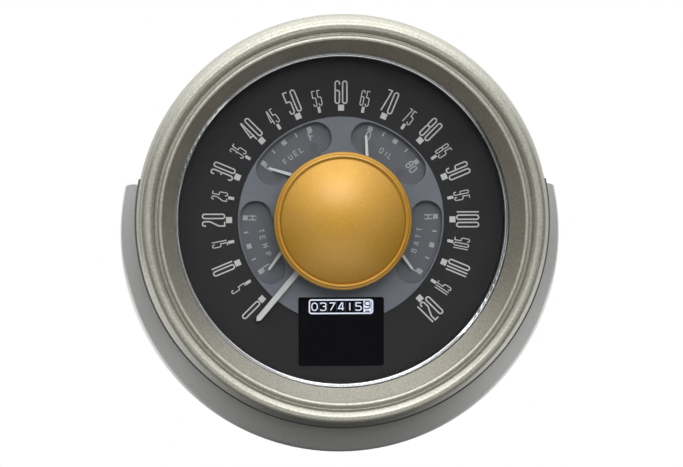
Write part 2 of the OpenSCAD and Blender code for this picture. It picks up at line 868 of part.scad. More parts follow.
module fuel_shaft() {
    face_forward() at_gauge(fuel_mid) gauge_shaft(needle_z + 2.0);
}

module oil_shaft() {
    face_forward() at_gauge(oil_mid) gauge_shaft(needle_z + 2.0);
}

module temp_shaft() {
    face_forward() at_gauge(temp_mid) gauge_shaft(needle_z + 2.0);
}

module batt_shaft() {
    face_forward() at_gauge(batt_mid) gauge_shaft(needle_z + 2.0);
}

module speed_pointer() {
    color("#d4d6d4") face_forward() rotate(pointer_rest) difference() {
        union() {
            translate([0, 0, pointer_z]) {
                blade(pointer_len, pointer_w, pointer_w, 0);
                translate([-pointer_tail, -pointer_w, 0]) cube([pointer_tail, 2 * pointer_w, blade_t]);
            }
            translate([0, 0, pointer_z - hub_under])
                cylinder(r = pointer_hub_r, h = pointer_hub_h + hub_under);
        }
        rod(shaft_r + 0.01, pointer_z - 2.0, 4.0);
    }
}

module fuel_needle() {
    face_forward() at_gauge(fuel_mid) rotate(needle_rest) needle();
}

module oil_needle() {
    face_forward() at_gauge(oil_mid) rotate(needle_rest) needle();
}

module temp_needle() {
    face_forward() at_gauge(temp_mid) rotate(needle_rest) needle();
}

module batt_needle() {
    face_forward() at_gauge(batt_mid) rotate(-needle_rest) needle();
}

bezel();
bezel_screws();
lower_cowl();
housing_cup();
rear_cover();
cover_screws();
dash_studs();
lens();
lens_gasket();
dome_cap();
dome_retainer();
trim_ring();
spacer_ring();
dial_ring();
inner_dial();
sub_dial();
display_window();
display_panel();
display_header();
light_guide();
main_board();
board_screws();
board_chips();
capacitors();
backlight_lamps();
telltale_lamps();
data_jack();
jack_contacts();
speed_motor();
fuel_motor();
oil_motor();
temp_motor();
batt_motor();
speed_shaft();
fuel_shaft();
oil_shaft();
temp_shaft();
batt_shaft();
speed_pointer();
fuel_needle();
oil_needle();
temp_needle();
batt_needle();
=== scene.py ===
"""Looks of a round dash-pod instrument cluster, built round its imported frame.

Lengths are in metres. The face looks along -Y, the dial's axis is Y and the dash panel is
the plane Y = 0. A level is a height above the dash panel, towards the reader.
"""

import logging
import math
from collections.abc import Iterable, Iterator
from contextlib import contextmanager
from dataclasses import dataclass, field, replace
from enum import Enum
from functools import partial

import bpy
from bpy.types import ID, Material, Node, NodeSocket, NodeTree, Object, World
from mathutils import Matrix, Vector


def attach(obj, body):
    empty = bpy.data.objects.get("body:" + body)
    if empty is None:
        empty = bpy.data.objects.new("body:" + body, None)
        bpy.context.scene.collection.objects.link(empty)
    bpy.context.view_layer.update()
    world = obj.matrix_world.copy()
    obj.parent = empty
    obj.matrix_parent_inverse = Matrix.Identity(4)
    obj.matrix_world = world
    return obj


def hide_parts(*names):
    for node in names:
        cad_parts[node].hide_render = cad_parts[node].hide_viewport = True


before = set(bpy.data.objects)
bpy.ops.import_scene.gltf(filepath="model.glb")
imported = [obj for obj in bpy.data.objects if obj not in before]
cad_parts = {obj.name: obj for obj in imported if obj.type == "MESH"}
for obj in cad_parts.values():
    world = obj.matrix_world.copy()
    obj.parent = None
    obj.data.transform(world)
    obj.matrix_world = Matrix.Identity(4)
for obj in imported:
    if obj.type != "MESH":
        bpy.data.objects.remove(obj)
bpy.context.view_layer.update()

LOG = logging.getLogger("cluster")
MM = 0.001
FACE_FORWARD = Matrix.Rotation(math.radians(90), 4, "X")
CASE = "case"
WHITE = (1.0, 1.0, 1.0, 1.0)
DOUBLED = 0.001 * MM  # points nearer than this count as one
CONTRAST = (0.3, 0.7)  # the part of a noise's values that a finish spreads out
BRUSH_STRETCH = 0.03  # a brushed grain's scale along its lines, against that across them
CLUSTER = 0.45  # scale of the noise that softens flakes, against the flakes' own
CLUSTER_SHARE = 0.72  # share of that noise in the flakes' tone
CORNER_STEPS = 6  # edges in a glyph's rounded corner
INK_STEP = 0.008 * MM  # the second line of a glyph lies this much higher than the first
SMOOTH_ANGLE = math.radians(35)  # turned pieces keep an edge where they bend more

Point = tuple[float, float]
Place = tuple[float, float, float]
Corner = tuple[float, ...]  # place of a line's corner and, if it is rounded, its radius
Step = tuple[Point, Point]  # where something starts and ends to change; before and after

# Nodes


def linear(code: str) -> tuple[float, float, float, float]:
    """Turns an sRGB hex colour into linear light.

    Args:
        code: The colour, such as "#a3a394".

    Returns:
        Red, green, blue and alpha, from 0 to 1.
    """
    parts = [int(code[i : i + 2], 16) / 255 for i in (1, 3, 5)]
    red, green, blue = (
        p / 12.92 if p <= 0.04045 else ((p + 0.055) / 1.055) ** 2.4 for p in parts
    )
    return red, green, blue, 1.0


def add_node(tree: NodeTree, kind: str, inputs: dict, **settings) -> Node:
    """Adds a node with its settings, values and links.

    Args:
        tree: The tree that takes the node.
        kind: The node's Blender type name, after "ShaderNode".
        inputs: Socket name or number, and its value or the socket that feeds it.
        settings: Attributes of the node.

    Returns:
        The new node.
    """
    node = tree.nodes.new("ShaderNode" + kind)
    for name, value in settings.items():
        setattr(node, name, value)
    for name, value in inputs.items():
        if isinstance(value, NodeSocket):
            tree.links.new(value, node.inputs[name])
        else:
            node.inputs[name].default_value = value
    return node


def mix_colours(tree: NodeTree, factor: NodeSocket, first: str, second: str) -> NodeSocket:
    """Mixes two hex colours by a factor.

    Args:
        tree: The tree that takes the node.
        factor: The socket that gives the share of the second colour.
        first: Colour at factor 0.
        second: Colour at factor 1.

    Returns:
        The mixed colour's socket.
    """
    node = add_node(tree, "Mix", {"Factor": factor}, data_type="RGBA")
    ends = [socket for socket in node.inputs if socket.type == "RGBA"]
    for socket, code in zip(ends, (first, second)):
        socket.default_value = linear(code)
    return next(socket for socket in node.outputs if socket.type == "RGBA")


def per_metre(size_mm: float) -> float:
    """Texture scale that gives a pattern of that size in millimetres."""
    return 1 / (size_mm * MM)


def object_place(tree: NodeTree) -> NodeSocket:
    """Adds the Object coordinates."""
    return add_node(tree, "TexCoord", {}).outputs["Object"]


def noise(tree: NodeTree, place: NodeSocket, scale: float, detail: float = 2.0) -> NodeSocket:
    """Adds a noise of that scale and detail, from 0 to 1."""
    inputs = {"Vector": place, "Scale": scale, "Detail": detail}
    return add_node(tree, "TexNoise", inputs).outputs["Fac"]


def maths(tree: NodeTree, how: str, *values: float | NodeSocket) -> NodeSocket:
    """Adds a sum of numbers and sockets; how is its kind, as Blender names it."""
    inputs = dict(enumerate(values))
    return add_node(tree, "Math", inputs, operation=how).outputs[0]


def distance(tree: NodeTree, vector: NodeSocket) -> NodeSocket:
    """Adds a place's distance from the origin."""
    node = add_node(tree, "VectorMath", {0: vector}, operation="LENGTH")
    return node.outputs["Value"]


def ramp(
    tree: NodeTree, value: NodeSocket, ends: Point, levels: Point, how: str = "LINEAR"
) -> NodeSocket:
    """Adds a step from one level to another.

    Args:
        tree: The tree that takes the node.
        value: The socket that is stepped.
        ends: Where the step starts and ends.
        levels: What it gives before and after.
        how: How it goes from one to the other, as Blender names it.

    Returns:
        The step's socket.
    """
    names = ("Value", "From Min", "From Max", "To Min", "To Max")
    inputs = dict(zip(names, (value, *ends, *levels)))
    node = add_node(tree, "MapRange", inputs, interpolation_type=how)
    return node.outputs["Result"]


def empty_tree(block: Material | World) -> NodeTree:
    """Gives a new material or world an empty node tree.

    Args:
        block: The material or world.

    Returns:
        Its tree.
    """
    block.use_nodes = True
    block.node_tree.nodes.clear()
    return block.node_tree


def end_in_principled(tree: NodeTree, inputs: dict) -> None:
    """Ends a material's tree in one Principled shader with those inputs."""
    shader = add_node(tree, "BsdfPrincipled", inputs)
    add_node(tree, "OutputMaterial", {"Surface": shader.outputs["BSDF"]})


# Kinds of finish


class Grain(Enum):
    """How a finish's grain runs."""

    EVEN = "even"
    FLAKED = "flaked"
    BRUSHED_X = "brushed along X"
    TURNED = "turned round the dial axis"


@dataclass(frozen=True)
class Finish:
    """An opaque surface with a grain.

    Attributes:
        name: Common name of the material and how its surface was made.
        colour: Main colour.
        shade: Colour that the grain mixes in.
        grain_mm: Size of the grain.
        relief_mm: Height of the grain.
        rough: Least and most roughness.
        metallic: Metallic value.
        coat: Weight of the clear coat.
        cloud_mm: Size of the slow change in roughness.
        grain: How the grain runs.
        shine: Specular level; the metals keep the default.
        coat_rough: Roughness of the clear coat.
    """

    name: str
    colour: str
    shade: str
    grain_mm: float
    relief_mm: float
    rough: Point
    metallic: float = 0.0
    coat: float = 0.0
    cloud_mm: float = 30.0
    grain: Grain = Grain.EVEN
    shine: float = 0.5
    coat_rough: float = 0.2

    def make(self) -> Material:
        """Makes the material, if it isn't there yet.

        Returns:
            The material.
        """
        made = bpy.data.materials.get(self.name)
        if made is None:
            made = bpy.data.materials.new(self.name)
            self.wire(empty_tree(made))
        return made

    def wire(self, tree: NodeTree) -> None:
        """Builds the material's nodes in an empty tree.

        Args:
            tree: The material's tree.
        """
        place = object_place(tree)
        height = self.grain_height(tree, place)
        tone = ramp(tree, height, CONTRAST, (0.0, 1.0))
        cloud = noise(tree, place, per_metre(self.cloud_mm), detail=3.0)
        inputs = {
            "Base Color": mix_colours(tree, tone, self.colour, self.shade),
            "Metallic": self.metallic,
            "Roughness": ramp(tree, cloud, CONTRAST, self.rough),
            "Specular IOR Level": self.shine,
            "Coat Weight": self.coat,
            "Coat Roughness": self.coat_rough,
        }
        if self.relief_mm > 0:
            relief = {"Strength": 1.0, "Distance": self.relief_mm * MM, "Height": height}
            inputs["Normal"] = add_node(tree, "Bump", relief).outputs["Normal"]
        end_in_principled(tree, inputs)

    def grain_height(self, tree: NodeTree, place: NodeSocket) -> NodeSocket:
        """Adds the grain's pattern.

        Args:
            tree: The material's tree.
            place: Object coordinates.

        Returns:
            The socket that gives the grain's height, from 0 to 1.
        """
        scale = per_metre(self.grain_mm)
        if self.grain is Grain.FLAKED:  # cells of random tone, softened by a noise
            cells = add_node(tree, "TexVoronoi", {"Vector": place, "Scale": scale})
            tone = add_node(tree, "SeparateColor", {"Color": cells.outputs["Color"]})
            cloud = noise(tree, place, scale * CLUSTER, detail=3.0)
            inputs = {"Factor": CLUSTER_SHARE, "A": tone.outputs["Red"], "B": cloud}
            return add_node(tree, "Mix", inputs, data_type="FLOAT").outputs["Result"]
        if self.grain is Grain.TURNED:  # the distance from the dial axis stands in for X
            parts = add_node(tree, "SeparateXYZ", {"Vector": place}).outputs
            flat = add_node(tree, "CombineXYZ", {"X": parts["X"], "Z": parts["Z"]})
            inputs = {"X": distance(tree, flat.outputs["Vector"]), "Y": parts["Y"]}
            place = add_node(tree, "CombineXYZ", inputs).outputs["Vector"]
        along = BRUSH_STRETCH if self.grain is Grain.BRUSHED_X else 1.0
        where = add_node(tree, "Mapping", {"Vector": place, "Scale": (along, 1.0, 1.0)})
        return noise(tree, where.outputs["Vector"], scale)


@dataclass(frozen=True)
class Clear(Finish):
    """A clear moulded pane that lets lamps through.

    Attributes:
        ior: Index of refraction.
    """

    ior: float = 1.49

    def wire(self, tree: NodeTree) -> None:
        """Builds the pane: glass to the eye, open to the light that reaches what is behind it.

        Args:
            tree: The material's tree.
        """
        haze = noise(tree, object_place(tree), per_metre(self.cloud_mm), detail=4.0)
        inputs = {
            "Base Color": linear(self.colour),
            "Roughness": ramp(tree, haze, (0.0, 1.0), self.rough),
            "IOR": self.ior,
            "Transmission Weight": 1.0,
        }
        pane = add_node(tree, "BsdfPrincipled", inputs).outputs["BSDF"]
        path = add_node(tree, "LightPath", {}).outputs
        passing = maths(tree, "MAXIMUM", path["Is Shadow Ray"], path["Is Diffuse Ray"])
        opening = add_node(tree, "BsdfTransparent", {}).outputs["BSDF"]
        both = add_node(tree, "MixShader", {0: passing, 1: pane, 2: opening})
        add_node(tree, "OutputMaterial", {"Surface": both.outputs["Shader"]})


@dataclass(frozen=True)
class Glow(Finish):
    """Lit pixels of a small display, a little uneven in tone.

    Attributes:
        unlit: Colour of the pixels by themselves.
        strength: Strength of their light.
    """

    unlit: str = "#101014"
    strength: float = 1.0

    def wire(self, tree: NodeTree) -> None:
        """Builds the lit pixels.

        Args:
            tree: The material's tree.
        """
        dots = noise(tree, object_place(tree), per_metre(self.grain_mm), detail=1.0)
        inputs = {
            "Base Color": linear(self.unlit),
            "Roughness": self.rough[0],
            "Emission Color": mix_colours(tree, dots, self.colour, self.shade),
            "Emission Strength": self.strength,
        }
        end_in_principled(tree, inputs)


@dataclass(frozen=True)
class Board(Finish):
    """A circuit board: solder mask over copper tracks.

    Attributes:
        course_mm: Size of the pattern that the tracks follow.
        track: Width of a track, as a share of that size.
        heights: Least and most height between the tracks, which stand at 1.
    """

    course_mm: float = 4.8
    track: float = 0.12
    heights: Point = (0.0, 0.2)

    def grain_height(self, tree: NodeTree, place: NodeSocket) -> NodeSocket:
        """Adds the tracks, as the courses of a brick pattern.

        Args:
            tree: The material's tree.
            place: Object coordinates.

        Returns:
            The socket that gives the mask's height.
        """
        low, high = ((height, height, height, 1.0) for height in self.heights)
        inputs = {
            "Vector": place,
            "Scale": per_metre(self.course_mm),
            "Mortar Size": self.track,
            "Color1": low,
            "Color2": high,
            "Mortar": WHITE,
        }
        return add_node(tree, "TexBrick", inputs).outputs["Color"]


# Finishes: name, colour, shade, size of the grain and its relief in mm, roughness

# Champagne lacquer on die-cast zinc: flakes of 0.5 mm, drawn coarser than real flakes so
# that they show, give a satin shimmer with soft, wide highlights
CHAMPAGNE = Finish(
    "champagne_metal_flake_lacquer", "#bebdb1", "#a09f93", 0.5, 0.008, (0.36, 0.44),
    metallic=0.75, coat=0.5, grain=Grain.FLAKED,
)
# Silver lacquer on pressed steel: the same flakes, nearly smooth to the eye
SILVER = Finish(
    "silver_metal_flake_lacquer", "#e2e2e0", "#d9d9d7", 0.5, 0.003, (0.27, 0.33),
    metallic=0.6, coat=0.1, grain=Grain.FLAKED,
)
# Gold anodised aluminium, bead-blasted before the bath: a fine even grain, satin
GOLD = Finish(
    "gold_anodised_blasted_aluminium", "#c6972e", "#ba8b27", 0.45, 0.004, (0.52, 0.6),
    metallic=0.85, coat=1.0, grain=Grain.FLAKED, coat_rough=0.32,
)
# Polished aluminium, turned: a mirror with faint circles in its gloss
POLISHED = Finish(
    "polished_turned_aluminium", "#e4e5e6", "#d6d7d8", 0.25, 0.0, (0.06, 0.12),
    metallic=1.0, grain=Grain.TURNED,
)
# Black ABS with a spark-eroded mould texture: 0.4 mm grain, dull
ABS_BLACK = Finish(
    "black_abs_moulded", "#2a2b2e", "#222326", 0.4, 0.02, (0.5, 0.62), cloud_mm=25.0
)
# Matt moulded ABS of the wall between the dial and the polished ring: takes almost no light
WALL_BLACK = Finish("matt_black_moulded_abs", "#1b1b1d", "#151517", 0.35, 0.01, (0.55, 0.7))
# Matt black screen print on aluminium sheet: a very fine tooth
DIAL_BLACK = Finish(
    "black_screen_printed_aluminium", "#2b2b2d", "#272729", 0.5, 0.0015, (0.6, 0.7), shine=0.2
)
# Grey enamel on the raised inner dial, smooth and dull
DIAL_GREY = Finish("grey_enamelled_aluminium", "#6c7179", "#676c74", 0.6, 0.001, (0.48, 0.56))
# Darker grey enamel on the recessed plate
SUB_GREY = Finish("dark_grey_enamelled_aluminium", "#5f6268", "#5a5d63", 0.6, 0.001, (0.5, 0.6))
# White screen print, thick enough to stand off the plate
INK_WHITE = Finish("white_screen_print", "#cfcfce", "#c4c4c3", 0.6, 0.002, (0.5, 0.6), shine=0.3)
# The same ink thinned with grey on the small scales
INK_GREY = Finish("pale_grey_screen_print", "#b4b6ba", "#a6a8ac", 0.6, 0.004, (0.5, 0.6))
# Dark film of an unlit telltale
FILM = Finish("smoked_telltale_film", "#55585d", "#505358", 0.8, 0.002, (0.35, 0.45))
# Silver paint on the pointers, slightly uneven from the spray
POINTER = Finish(
    "silver_sprayed_aluminium", "#d8dad8", "#c6c8c6", 0.4, 0.004, (0.34, 0.42), metallic=0.35
)
# Smoked acrylic, polished
SMOKED = Finish(
    "smoked_polished_acrylic", "#0c0c11", "#0a0a0f", 2.0, 0.0, (0.08, 0.14), shine=0.4
)
# Clear acrylic, moulded and polished
ACRYLIC = Clear("clear_moulded_acrylic", "#ffffff", "#ffffff", 1.0, 0.0, (0.0, 0.02))
# Rubber of the gasket, with a dull skin
RUBBER = Finish("black_epdm_rubber", "#1c1c1c", "#161616", 0.5, 0.01, (0.7, 0.85))
# Grey strip in the seam beside the cowl, with a rubber finish: painted shade that stands for the
# shadow in the gap between bezel and cowl
SEAM_SHADE_GREY = Finish("painted_seam_shade_grey", "#5c5c5a", "#525250", 0.5, 0.01, (0.6, 0.75))
# Zinc-plated steel of screws, shafts and the display's frame
ZINC = Finish("zinc_plated_steel", "#b9bcc0", "#a7aaae", 0.4, 0.004, (0.28, 0.4), metallic=1.0)
# Zinc-plated sheet with the rolling grain along X
SHEET = Finish(
    "zinc_plated_rolled_sheet", "#b9bcbe", "#a4a7a9", 0.5, 0.004, (0.3, 0.42),
    metallic=1.0, grain=Grain.BRUSHED_X,
)
# Yellow passivated steel of the studs
BRASSY = Finish(
    "yellow_passivated_steel", "#c8b070", "#b39a5a", 0.8, 0.003, (0.3, 0.4), metallic=1.0
)
# Plated contacts
CONTACT = Finish("gold_plated_bronze", "#e0bd6a", "#d0ac58", 0.5, 0.001, (0.2, 0.3), metallic=1.0)
# Cream acetal of the motors
CREAM = Finish("cream_moulded_acetal", "#e4e0d2", "#dad6c8", 0.5, 0.01, (0.4, 0.5))
# Epoxy of the chips
EPOXY = Finish("black_epoxy_package", "#1d1e20", "#17181a", 0.3, 0.008, (0.45, 0.6))
# Drawn aluminium of the capacitor cans
CAN = Finish("drawn_aluminium_can", "#b4b8bd", "#a4a8ad", 0.4, 0.002, (0.25, 0.35), metallic=1.0)
# White ceramic of the lamps
CERAMIC = Finish("white_lamp_ceramic", "#ece8d0", "#e0dcc4", 0.4, 0.003, (0.4, 0.5))
# Solder mask over copper
MASK = Board("green_solder_mask", "#1f5c3a", "#2d7049", 1.0, 0.03, (0.25, 0.35))
# Lit pixels, a cool white
PIXELS = Glow("cool_white_pixels", "#eef3ff", "#dfe8ff", 0.3, 0.0, (0.3, 0.3))
# Dimmer pixels between the digits
PIXELS_DIM = Glow("dim_blue_pixels", "#3c4a66", "#2a3650", 0.3, 0.0, (0.3, 0.3))
# Pixels that are off
PIXELS_OFF = Finish("unlit_pixels", "#0c0e16", "#090b12", 0.3, 0.001, (0.2, 0.3))

# Pieces


def deselect() -> None:
    """Leaves edit mode and deselects all, because the frame's nodes come in selected."""
    if bpy.context.mode != "OBJECT":
        bpy.ops.object.mode_set(mode="OBJECT")
    bpy.ops.object.select_all(action="DESELECT")


def activate(piece: Object) -> None:
    """Selects one object alone and makes it active.

    Args:
        piece: The object.
    """
    deselect()
    piece.select_set(True)
    bpy.context.view_layer.objects.active = piece


def put_in_scene(name: str, data: ID) -> Object:
    """Puts a mesh, curve, lamp or camera in the scene.

    Args:
        name: Name of the object.
        data: What it holds.

    Returns:
        The object.
    """
    piece = bpy.data.objects.new(name, data)
    bpy.context.scene.collection.objects.link(piece)
    return piece


@contextmanager
def shaping() -> Iterator[None]:
    """Goes to edit mode with all of the active mesh selected, and leaves it afterwards.

    Yields:
        Nothing: the caller's operators shape the mesh.
    """
    bpy.ops.object.mode_set(mode="EDIT")
    bpy.ops.mesh.select_all(action="SELECT")
    yield
    bpy.ops.object.mode_set(mode="OBJECT")


def wires(name: str, lines: list[tuple[list[Place], bool]]) -> Object:
    """Makes a mesh of edges along some lines.

    Args:
        name: Name of the mesh's object.
        lines: The points of each line, and True if it comes back to its start.

    Returns:
        The object, active and selected.
    """
    curve = bpy.data.curves.new(name, "CURVE")
    curve.dimensions = "3D"
    for places, closed in lines:
        spline = curve.splines.new("POLY")
        spline.points.add(len(places) - 1)
        for point, place in zip(spline.points, places):
            point.co = (*place, 1.0)
        spline.use_cyclic_u = closed
    activate(put_in_scene(name, curve))
    bpy.ops.object.convert(target="MESH")
    return bpy.context.view_layer.objects.active


def dress(piece: Object, finish: Finish) -> None:
    """Gives a piece its only material.

    Args:
        piece: The object.
        finish: Its finish.
    """
    piece.data.materials.clear()
    piece.data.materials.append(finish.make())


def dress_nodes(finish: Finish, *names: str) -> None:
    """Gives CAD nodes a finish.

    Args:
        finish: The finish.
        names: Names of the nodes.
    """
    for name in names:
        dress(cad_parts[name], finish)
        LOG.info("node %s: %s", name, finish.name)


def stand_up(piece: Object) -> None:
    """Turns a piece drawn lying face up to face -Y, and puts its place in its mesh."""
    piece.data.transform(FACE_FORWARD @ piece.matrix_world)
    piece.matrix_world = Matrix.Identity(4)


def join(pieces: list[Object], name: str) -> Object:
    """Joins pieces into one.

    Args:
        pieces: The pieces, at least one.
        name: Name of the joined piece.

    Returns:
        The joined piece.
    """
    activate(pieces[0])
    for piece in pieces:
        piece.select_set(True)
    if len(pieces) > 1:
        bpy.ops.object.join()
    joined = bpy.context.view_layer.objects.active
    joined.name = joined.data.name = name
    return joined


def polar(radius: float, angle: float, centre: Point = (0.0, 0.0)) -> Point:
    """Point at a distance from a centre, at an angle in degrees."""
    a = math.radians(angle)
    return centre[0] + radius * math.cos(a), centre[1] + radius * math.sin(a)


def arc(centre: Point, radius: float, start: float, end: float, count: int) -> list[Point]:
    """Points of an arc.

    Args:
        centre: Its centre.
        radius: Its radius.
        start: Direction of its first point, in degrees.
        end: Direction of its last point, in degrees.
        count: Number of steps.

    Returns:
        The points, one more than the steps.
    """
    return [polar(radius, start + (end - start) * i / count, centre) for i in range(count + 1)]


def metres(points_mm: Iterable[Point]) -> list[Point]:
    """Turns points from millimetres to metres."""
    return [(x * MM, y * MM) for x, y in points_mm]


def centred(points: Iterable[Point], size: Point, shift: float = 0.0) -> list[Point]:
    """Moves a box of points so that its middle lies at the origin, or beside it by a shift."""
    return [(x + shift - size[0] / 2, y - size[1] / 2) for x, y in points]


# Print


@dataclass
class Stroke:
    """One stroke of the printer's pen on the dial, seen from the front.

    Attributes:
        points: The line that it follows.
        width: Its width.
        closed: True if it comes back to its start.
        lift: Its height above the first ink, so that crossing lines don't share a face.
    """

    points: list[Point]
    width: float
    closed: bool = False
    lift: float = 0.0

    def moved(self, turn: float, centre: Point) -> "Stroke":
        """The stroke turned about the origin, in radians, and moved to a centre.

        Args:
            turn: The angle.
            centre: Where the origin goes.

        Returns:
            The moved stroke.
        """
        c, s = math.cos(turn), math.sin(turn)
        points = [
            (centre[0] + x * c - y * s, centre[1] + x * s + y * c) for x, y in self.points
        ]
        return replace(self, points=points)


def rounded(corners: list[Corner], size: Point, closed: bool) -> list[Point]:
    """Line through corners, some of them rounded.

    Args:
        corners: Place of each corner as a share of the size, and its radius, if it has one,
            as a share of the width.
        size: Width and height.
        closed: True if the line comes back to its start.

    Returns:
        The points of the line.
    """
    spots = [Vector((x * size[0], y * size[1])) for x, y, *_ in corners]
    radii = [sum(radius) * size[0] for _, _, *radius in corners]
    line: list[Point] = []
    count = len(corners)
    for i, (spot, radius) in enumerate(zip(spots, radii)):
        if radius == 0 or (not closed and i in (0, count - 1)):
            line.append(tuple(spot))
            continue
        before, after = spots[i - 1] - spot, spots[(i + 1) % count] - spot
        half = before.angle(after) / 2
        back = min(radius / math.tan(half), before.length / 2, after.length / 2)
        start = spot + before.normalized() * back
        end = spot + after.normalized() * back
        inward = ((start + end) / 2 - spot).normalized()
        centre = spot + inward * math.hypot(back * math.tan(half), back)
        arm = start - centre
        sweep = -arm.angle_signed(end - centre)
        for k in range(CORNER_STEPS + 1):
            c, s = math.cos(sweep * k / CORNER_STEPS), math.sin(sweep * k / CORNER_STEPS)
            line.append((centre.x + arm.x * c - arm.y * s, centre.y + arm.x * s + arm.y * c))
    # Two arcs that meet would leave a doubled point, where the pen's outline goes astray.
    kept = [p for i, p in enumerate(line) if i == 0 or math.dist(p, line[i - 1]) > DOUBLED]
    return kept[:-1] if closed and math.dist(kept[0], kept[-1]) <= DOUBLED else kept


# The four outer corners of a glyph, where it is round
SW, SE, NE, NW = (0, 0, 0.5), (1, 0, 0.5), (1, 1, 0.5), (0, 1, 0.5)
# Each glyph is a list of lines: True if closed, then its corners (x, y, radius if rounded)
GLYPHS: dict[str, list[tuple[bool, list[Corner]]]] = {
    "0": [(True, [SW, SE, NE, NW])],
    "1": [(False, [(0.5, 0), (0.5, 1)])],
    "2": [(False, [(0, 0.84), NW, NE, (1, 0.66, 0.8), (0, 0.26, 0.8), (0, 0), (1, 0)])],
    "3": [(False, [(0, 0.84), NW, NE, (1, 0.54, 0.4), (0.4, 0.54)]),
          (False, [(0.4, 0.54), (1, 0.54, 0.4), SE, SW, (0, 0.16)])],
    "4": [(False, [(0.8, 0), (0.8, 1), (0.6, 1), (0, 0.24), (0.4, 0.24)]),
          (False, [(0.35, 0.24), (1.05, 0.24)])],
    "5": [(False, [(0.95, 1), (0, 1), (0, 0.56), (1, 0.56, 0.45), SE, SW, (0, 0.16)])],
    "6": [(False, [(1, 0.84), NE, NW, SW, SE, (1, 0.58, 0.45), (0, 0.58)])],
    "7": [(False, [(0, 1), (1, 1), (0.2, 0)])],
    "8": [(True, [SW, SE, (1, 0.54, 0.4), (0, 0.54, 0.4)]),
          (True, [(0, 0.54, 0.4), (1, 0.54, 0.4), NE, NW])],
    "9": [(False, [(0, 0.16), SW, SE, NE, NW, (0, 0.42, 0.45), (1, 0.42)])],
    "A": [(False, [(0, 0), (0.42, 1), (0.58, 1), (1, 0)]), (False, [(0.15, 0.32), (0.85, 0.32)])],
    "B": [(True, [(0, 0), (1, 0, 0.35), (1, 0.52, 0.35), (0, 0.52)]),
          (True, [(0, 0.52), (0.92, 0.52, 0.35), (0.92, 1, 0.35), (0, 1)])],
    "E": [(False, [(1, 1), (0, 1), (0, 0), (1, 0)]), (False, [(0, 0.5), (0.85, 0.5)])],
    "F": [(False, [(1, 1), (0, 1), (0, 0)]), (False, [(0, 0.5), (0.85, 0.5)])],
    "H": [(False, [(0, 0), (0, 1)]), (False, [(1, 0), (1, 1)]), (False, [(0, 0.5), (1, 0.5)])],
    "I": [(False, [(0.5, 0), (0.5, 1)])],
    "L": [(False, [(0, 1), (0, 0), (1, 0)])],
    "M": [(False, [(0, 0), (0, 1), (0.5, 0.4), (1, 1), (1, 0)])],
    "O": [(True, [(0, 0, 0.35), (1, 0, 0.35), (1, 1, 0.35), (0, 1, 0.35)])],
    "P": [(False, [(0, 0), (0, 1), (1, 1, 0.35), (1, 0.48, 0.35), (0, 0.48)])],
    "T": [(False, [(0, 1), (1, 1)]), (False, [(0.5, 1), (0.5, 0)])],
    "U": [(False, [(0, 1), (0, 0, 0.4), (1, 0, 0.4), (1, 1)])],
}
NARROW = "1I"  # glyphs that take no more room than their stroke


@dataclass(frozen=True)
class Lettering:
    """A printed alphabet.

    Attributes:
        height: Height of a glyph over all.
        width: Width of a glyph over all.
        stroke: Width of the pen.
        gap: Gap between two glyphs.
    """

    height: float
    width: float
    stroke: float
    gap: float

    def lay(self, text: str, centre: Point, turn: float = 0.0) -> list[Stroke]:
        """Lays out a word.

        Args:
            text: The word.
            centre: Where its middle goes on the dial.
            turn: Direction in which it reads, in degrees.

        Returns:
            The strokes of the word.
        """
        widths = [self.stroke if c in NARROW else self.width for c in text]
        length = sum(widths) + self.gap * (len(text) - 1)
        size = (self.width - self.stroke, self.height - self.stroke)
        strokes = []
        left = -length / 2
        for glyph, wide in zip(text, widths):
            for i, (closed, corners) in enumerate(GLYPHS[glyph]):
                line = centred(rounded(corners, size, closed), size, left + wide / 2)
                stroke = Stroke(line, self.stroke, closed, i * INK_STEP)
                strokes.append(stroke.moved(math.radians(turn), centre))
            left += wide + self.gap
        return strokes


@dataclass
class Print:
    """Ink on a flat plate, as a thin solid of the strokes' outlines.

    Attributes:
        name: Name of the piece.
        level: Height of the plate above the dash panel.
        finish: The ink.
        slot: Name of a material slot; not used.
        thickness: Thickness of the ink.
        strokes: What is printed.
    """

    name: str
    level: float
    finish: Finish
    slot: str
    thickness: float = 0.04 * MM
    strokes: list[Stroke] = field(default_factory=list)

    def bar(self, centre: Point, width: float, length: float, angle: float = 90.0) -> None:
        """Adds a bar.

        Args:
            centre: Its middle on the dial.
            width: Its width.
            length: Its length.
            angle: Direction of its length, in degrees; upright as it is.
        """
        bar = Stroke([(-length / 2, 0.0), (length / 2, 0.0)], width)
        self.strokes.append(bar.moved(math.radians(angle), centre))

    def build(self, body: str) -> Object:
        """Makes the ink as one piece that rides on a body.

        Args:
            body: Name of the CAD body.

        Returns:
            The piece.
        """
        widths = sorted({s.width for s in self.strokes})
        parts = [self.pen(w, [s for s in self.strokes if s.width == w]) for w in widths]
        piece = join(parts, self.name)
        dress(piece, self.finish)
        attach(piece, body)
        LOG.info("piece %s: %d strokes", self.name, len(self.strokes))
        return piece

    def pen(self, width: float, strokes: list[Stroke]) -> Object:
        """Makes the strokes of one width.

        Args:
            width: The width.
            strokes: The strokes.

        Returns:
            A mesh that faces -Y.
        """
        lines = [
            ([(x, y, self.level + stroke.lift) for x, y in stroke.points], stroke.closed)
            for stroke in strokes
        ]
        piece = wires(self.name, lines)
        with shaping():
            bpy.ops.mesh.extrude_region_move(
                TRANSFORM_OT_translate={"value": (0.0, 0.0, self.thickness)}
            )
        walls = piece.modifiers.new("pen", "SOLIDIFY")
        walls.thickness = width
        walls.offset = 0.0
        walls.use_even_offset = True
        bpy.ops.object.modifier_apply(modifier=walls.name)
        with shaping():
            bpy.ops.mesh.normals_make_consistent(inside=False)
        stand_up(piece)
        return piece


class Top(Enum):
    """Where the top of a printed word points, against its direction from the axis."""

    OUTWARD = -90.0
    INWARD = 90.0


# Studio and sub-assemblies


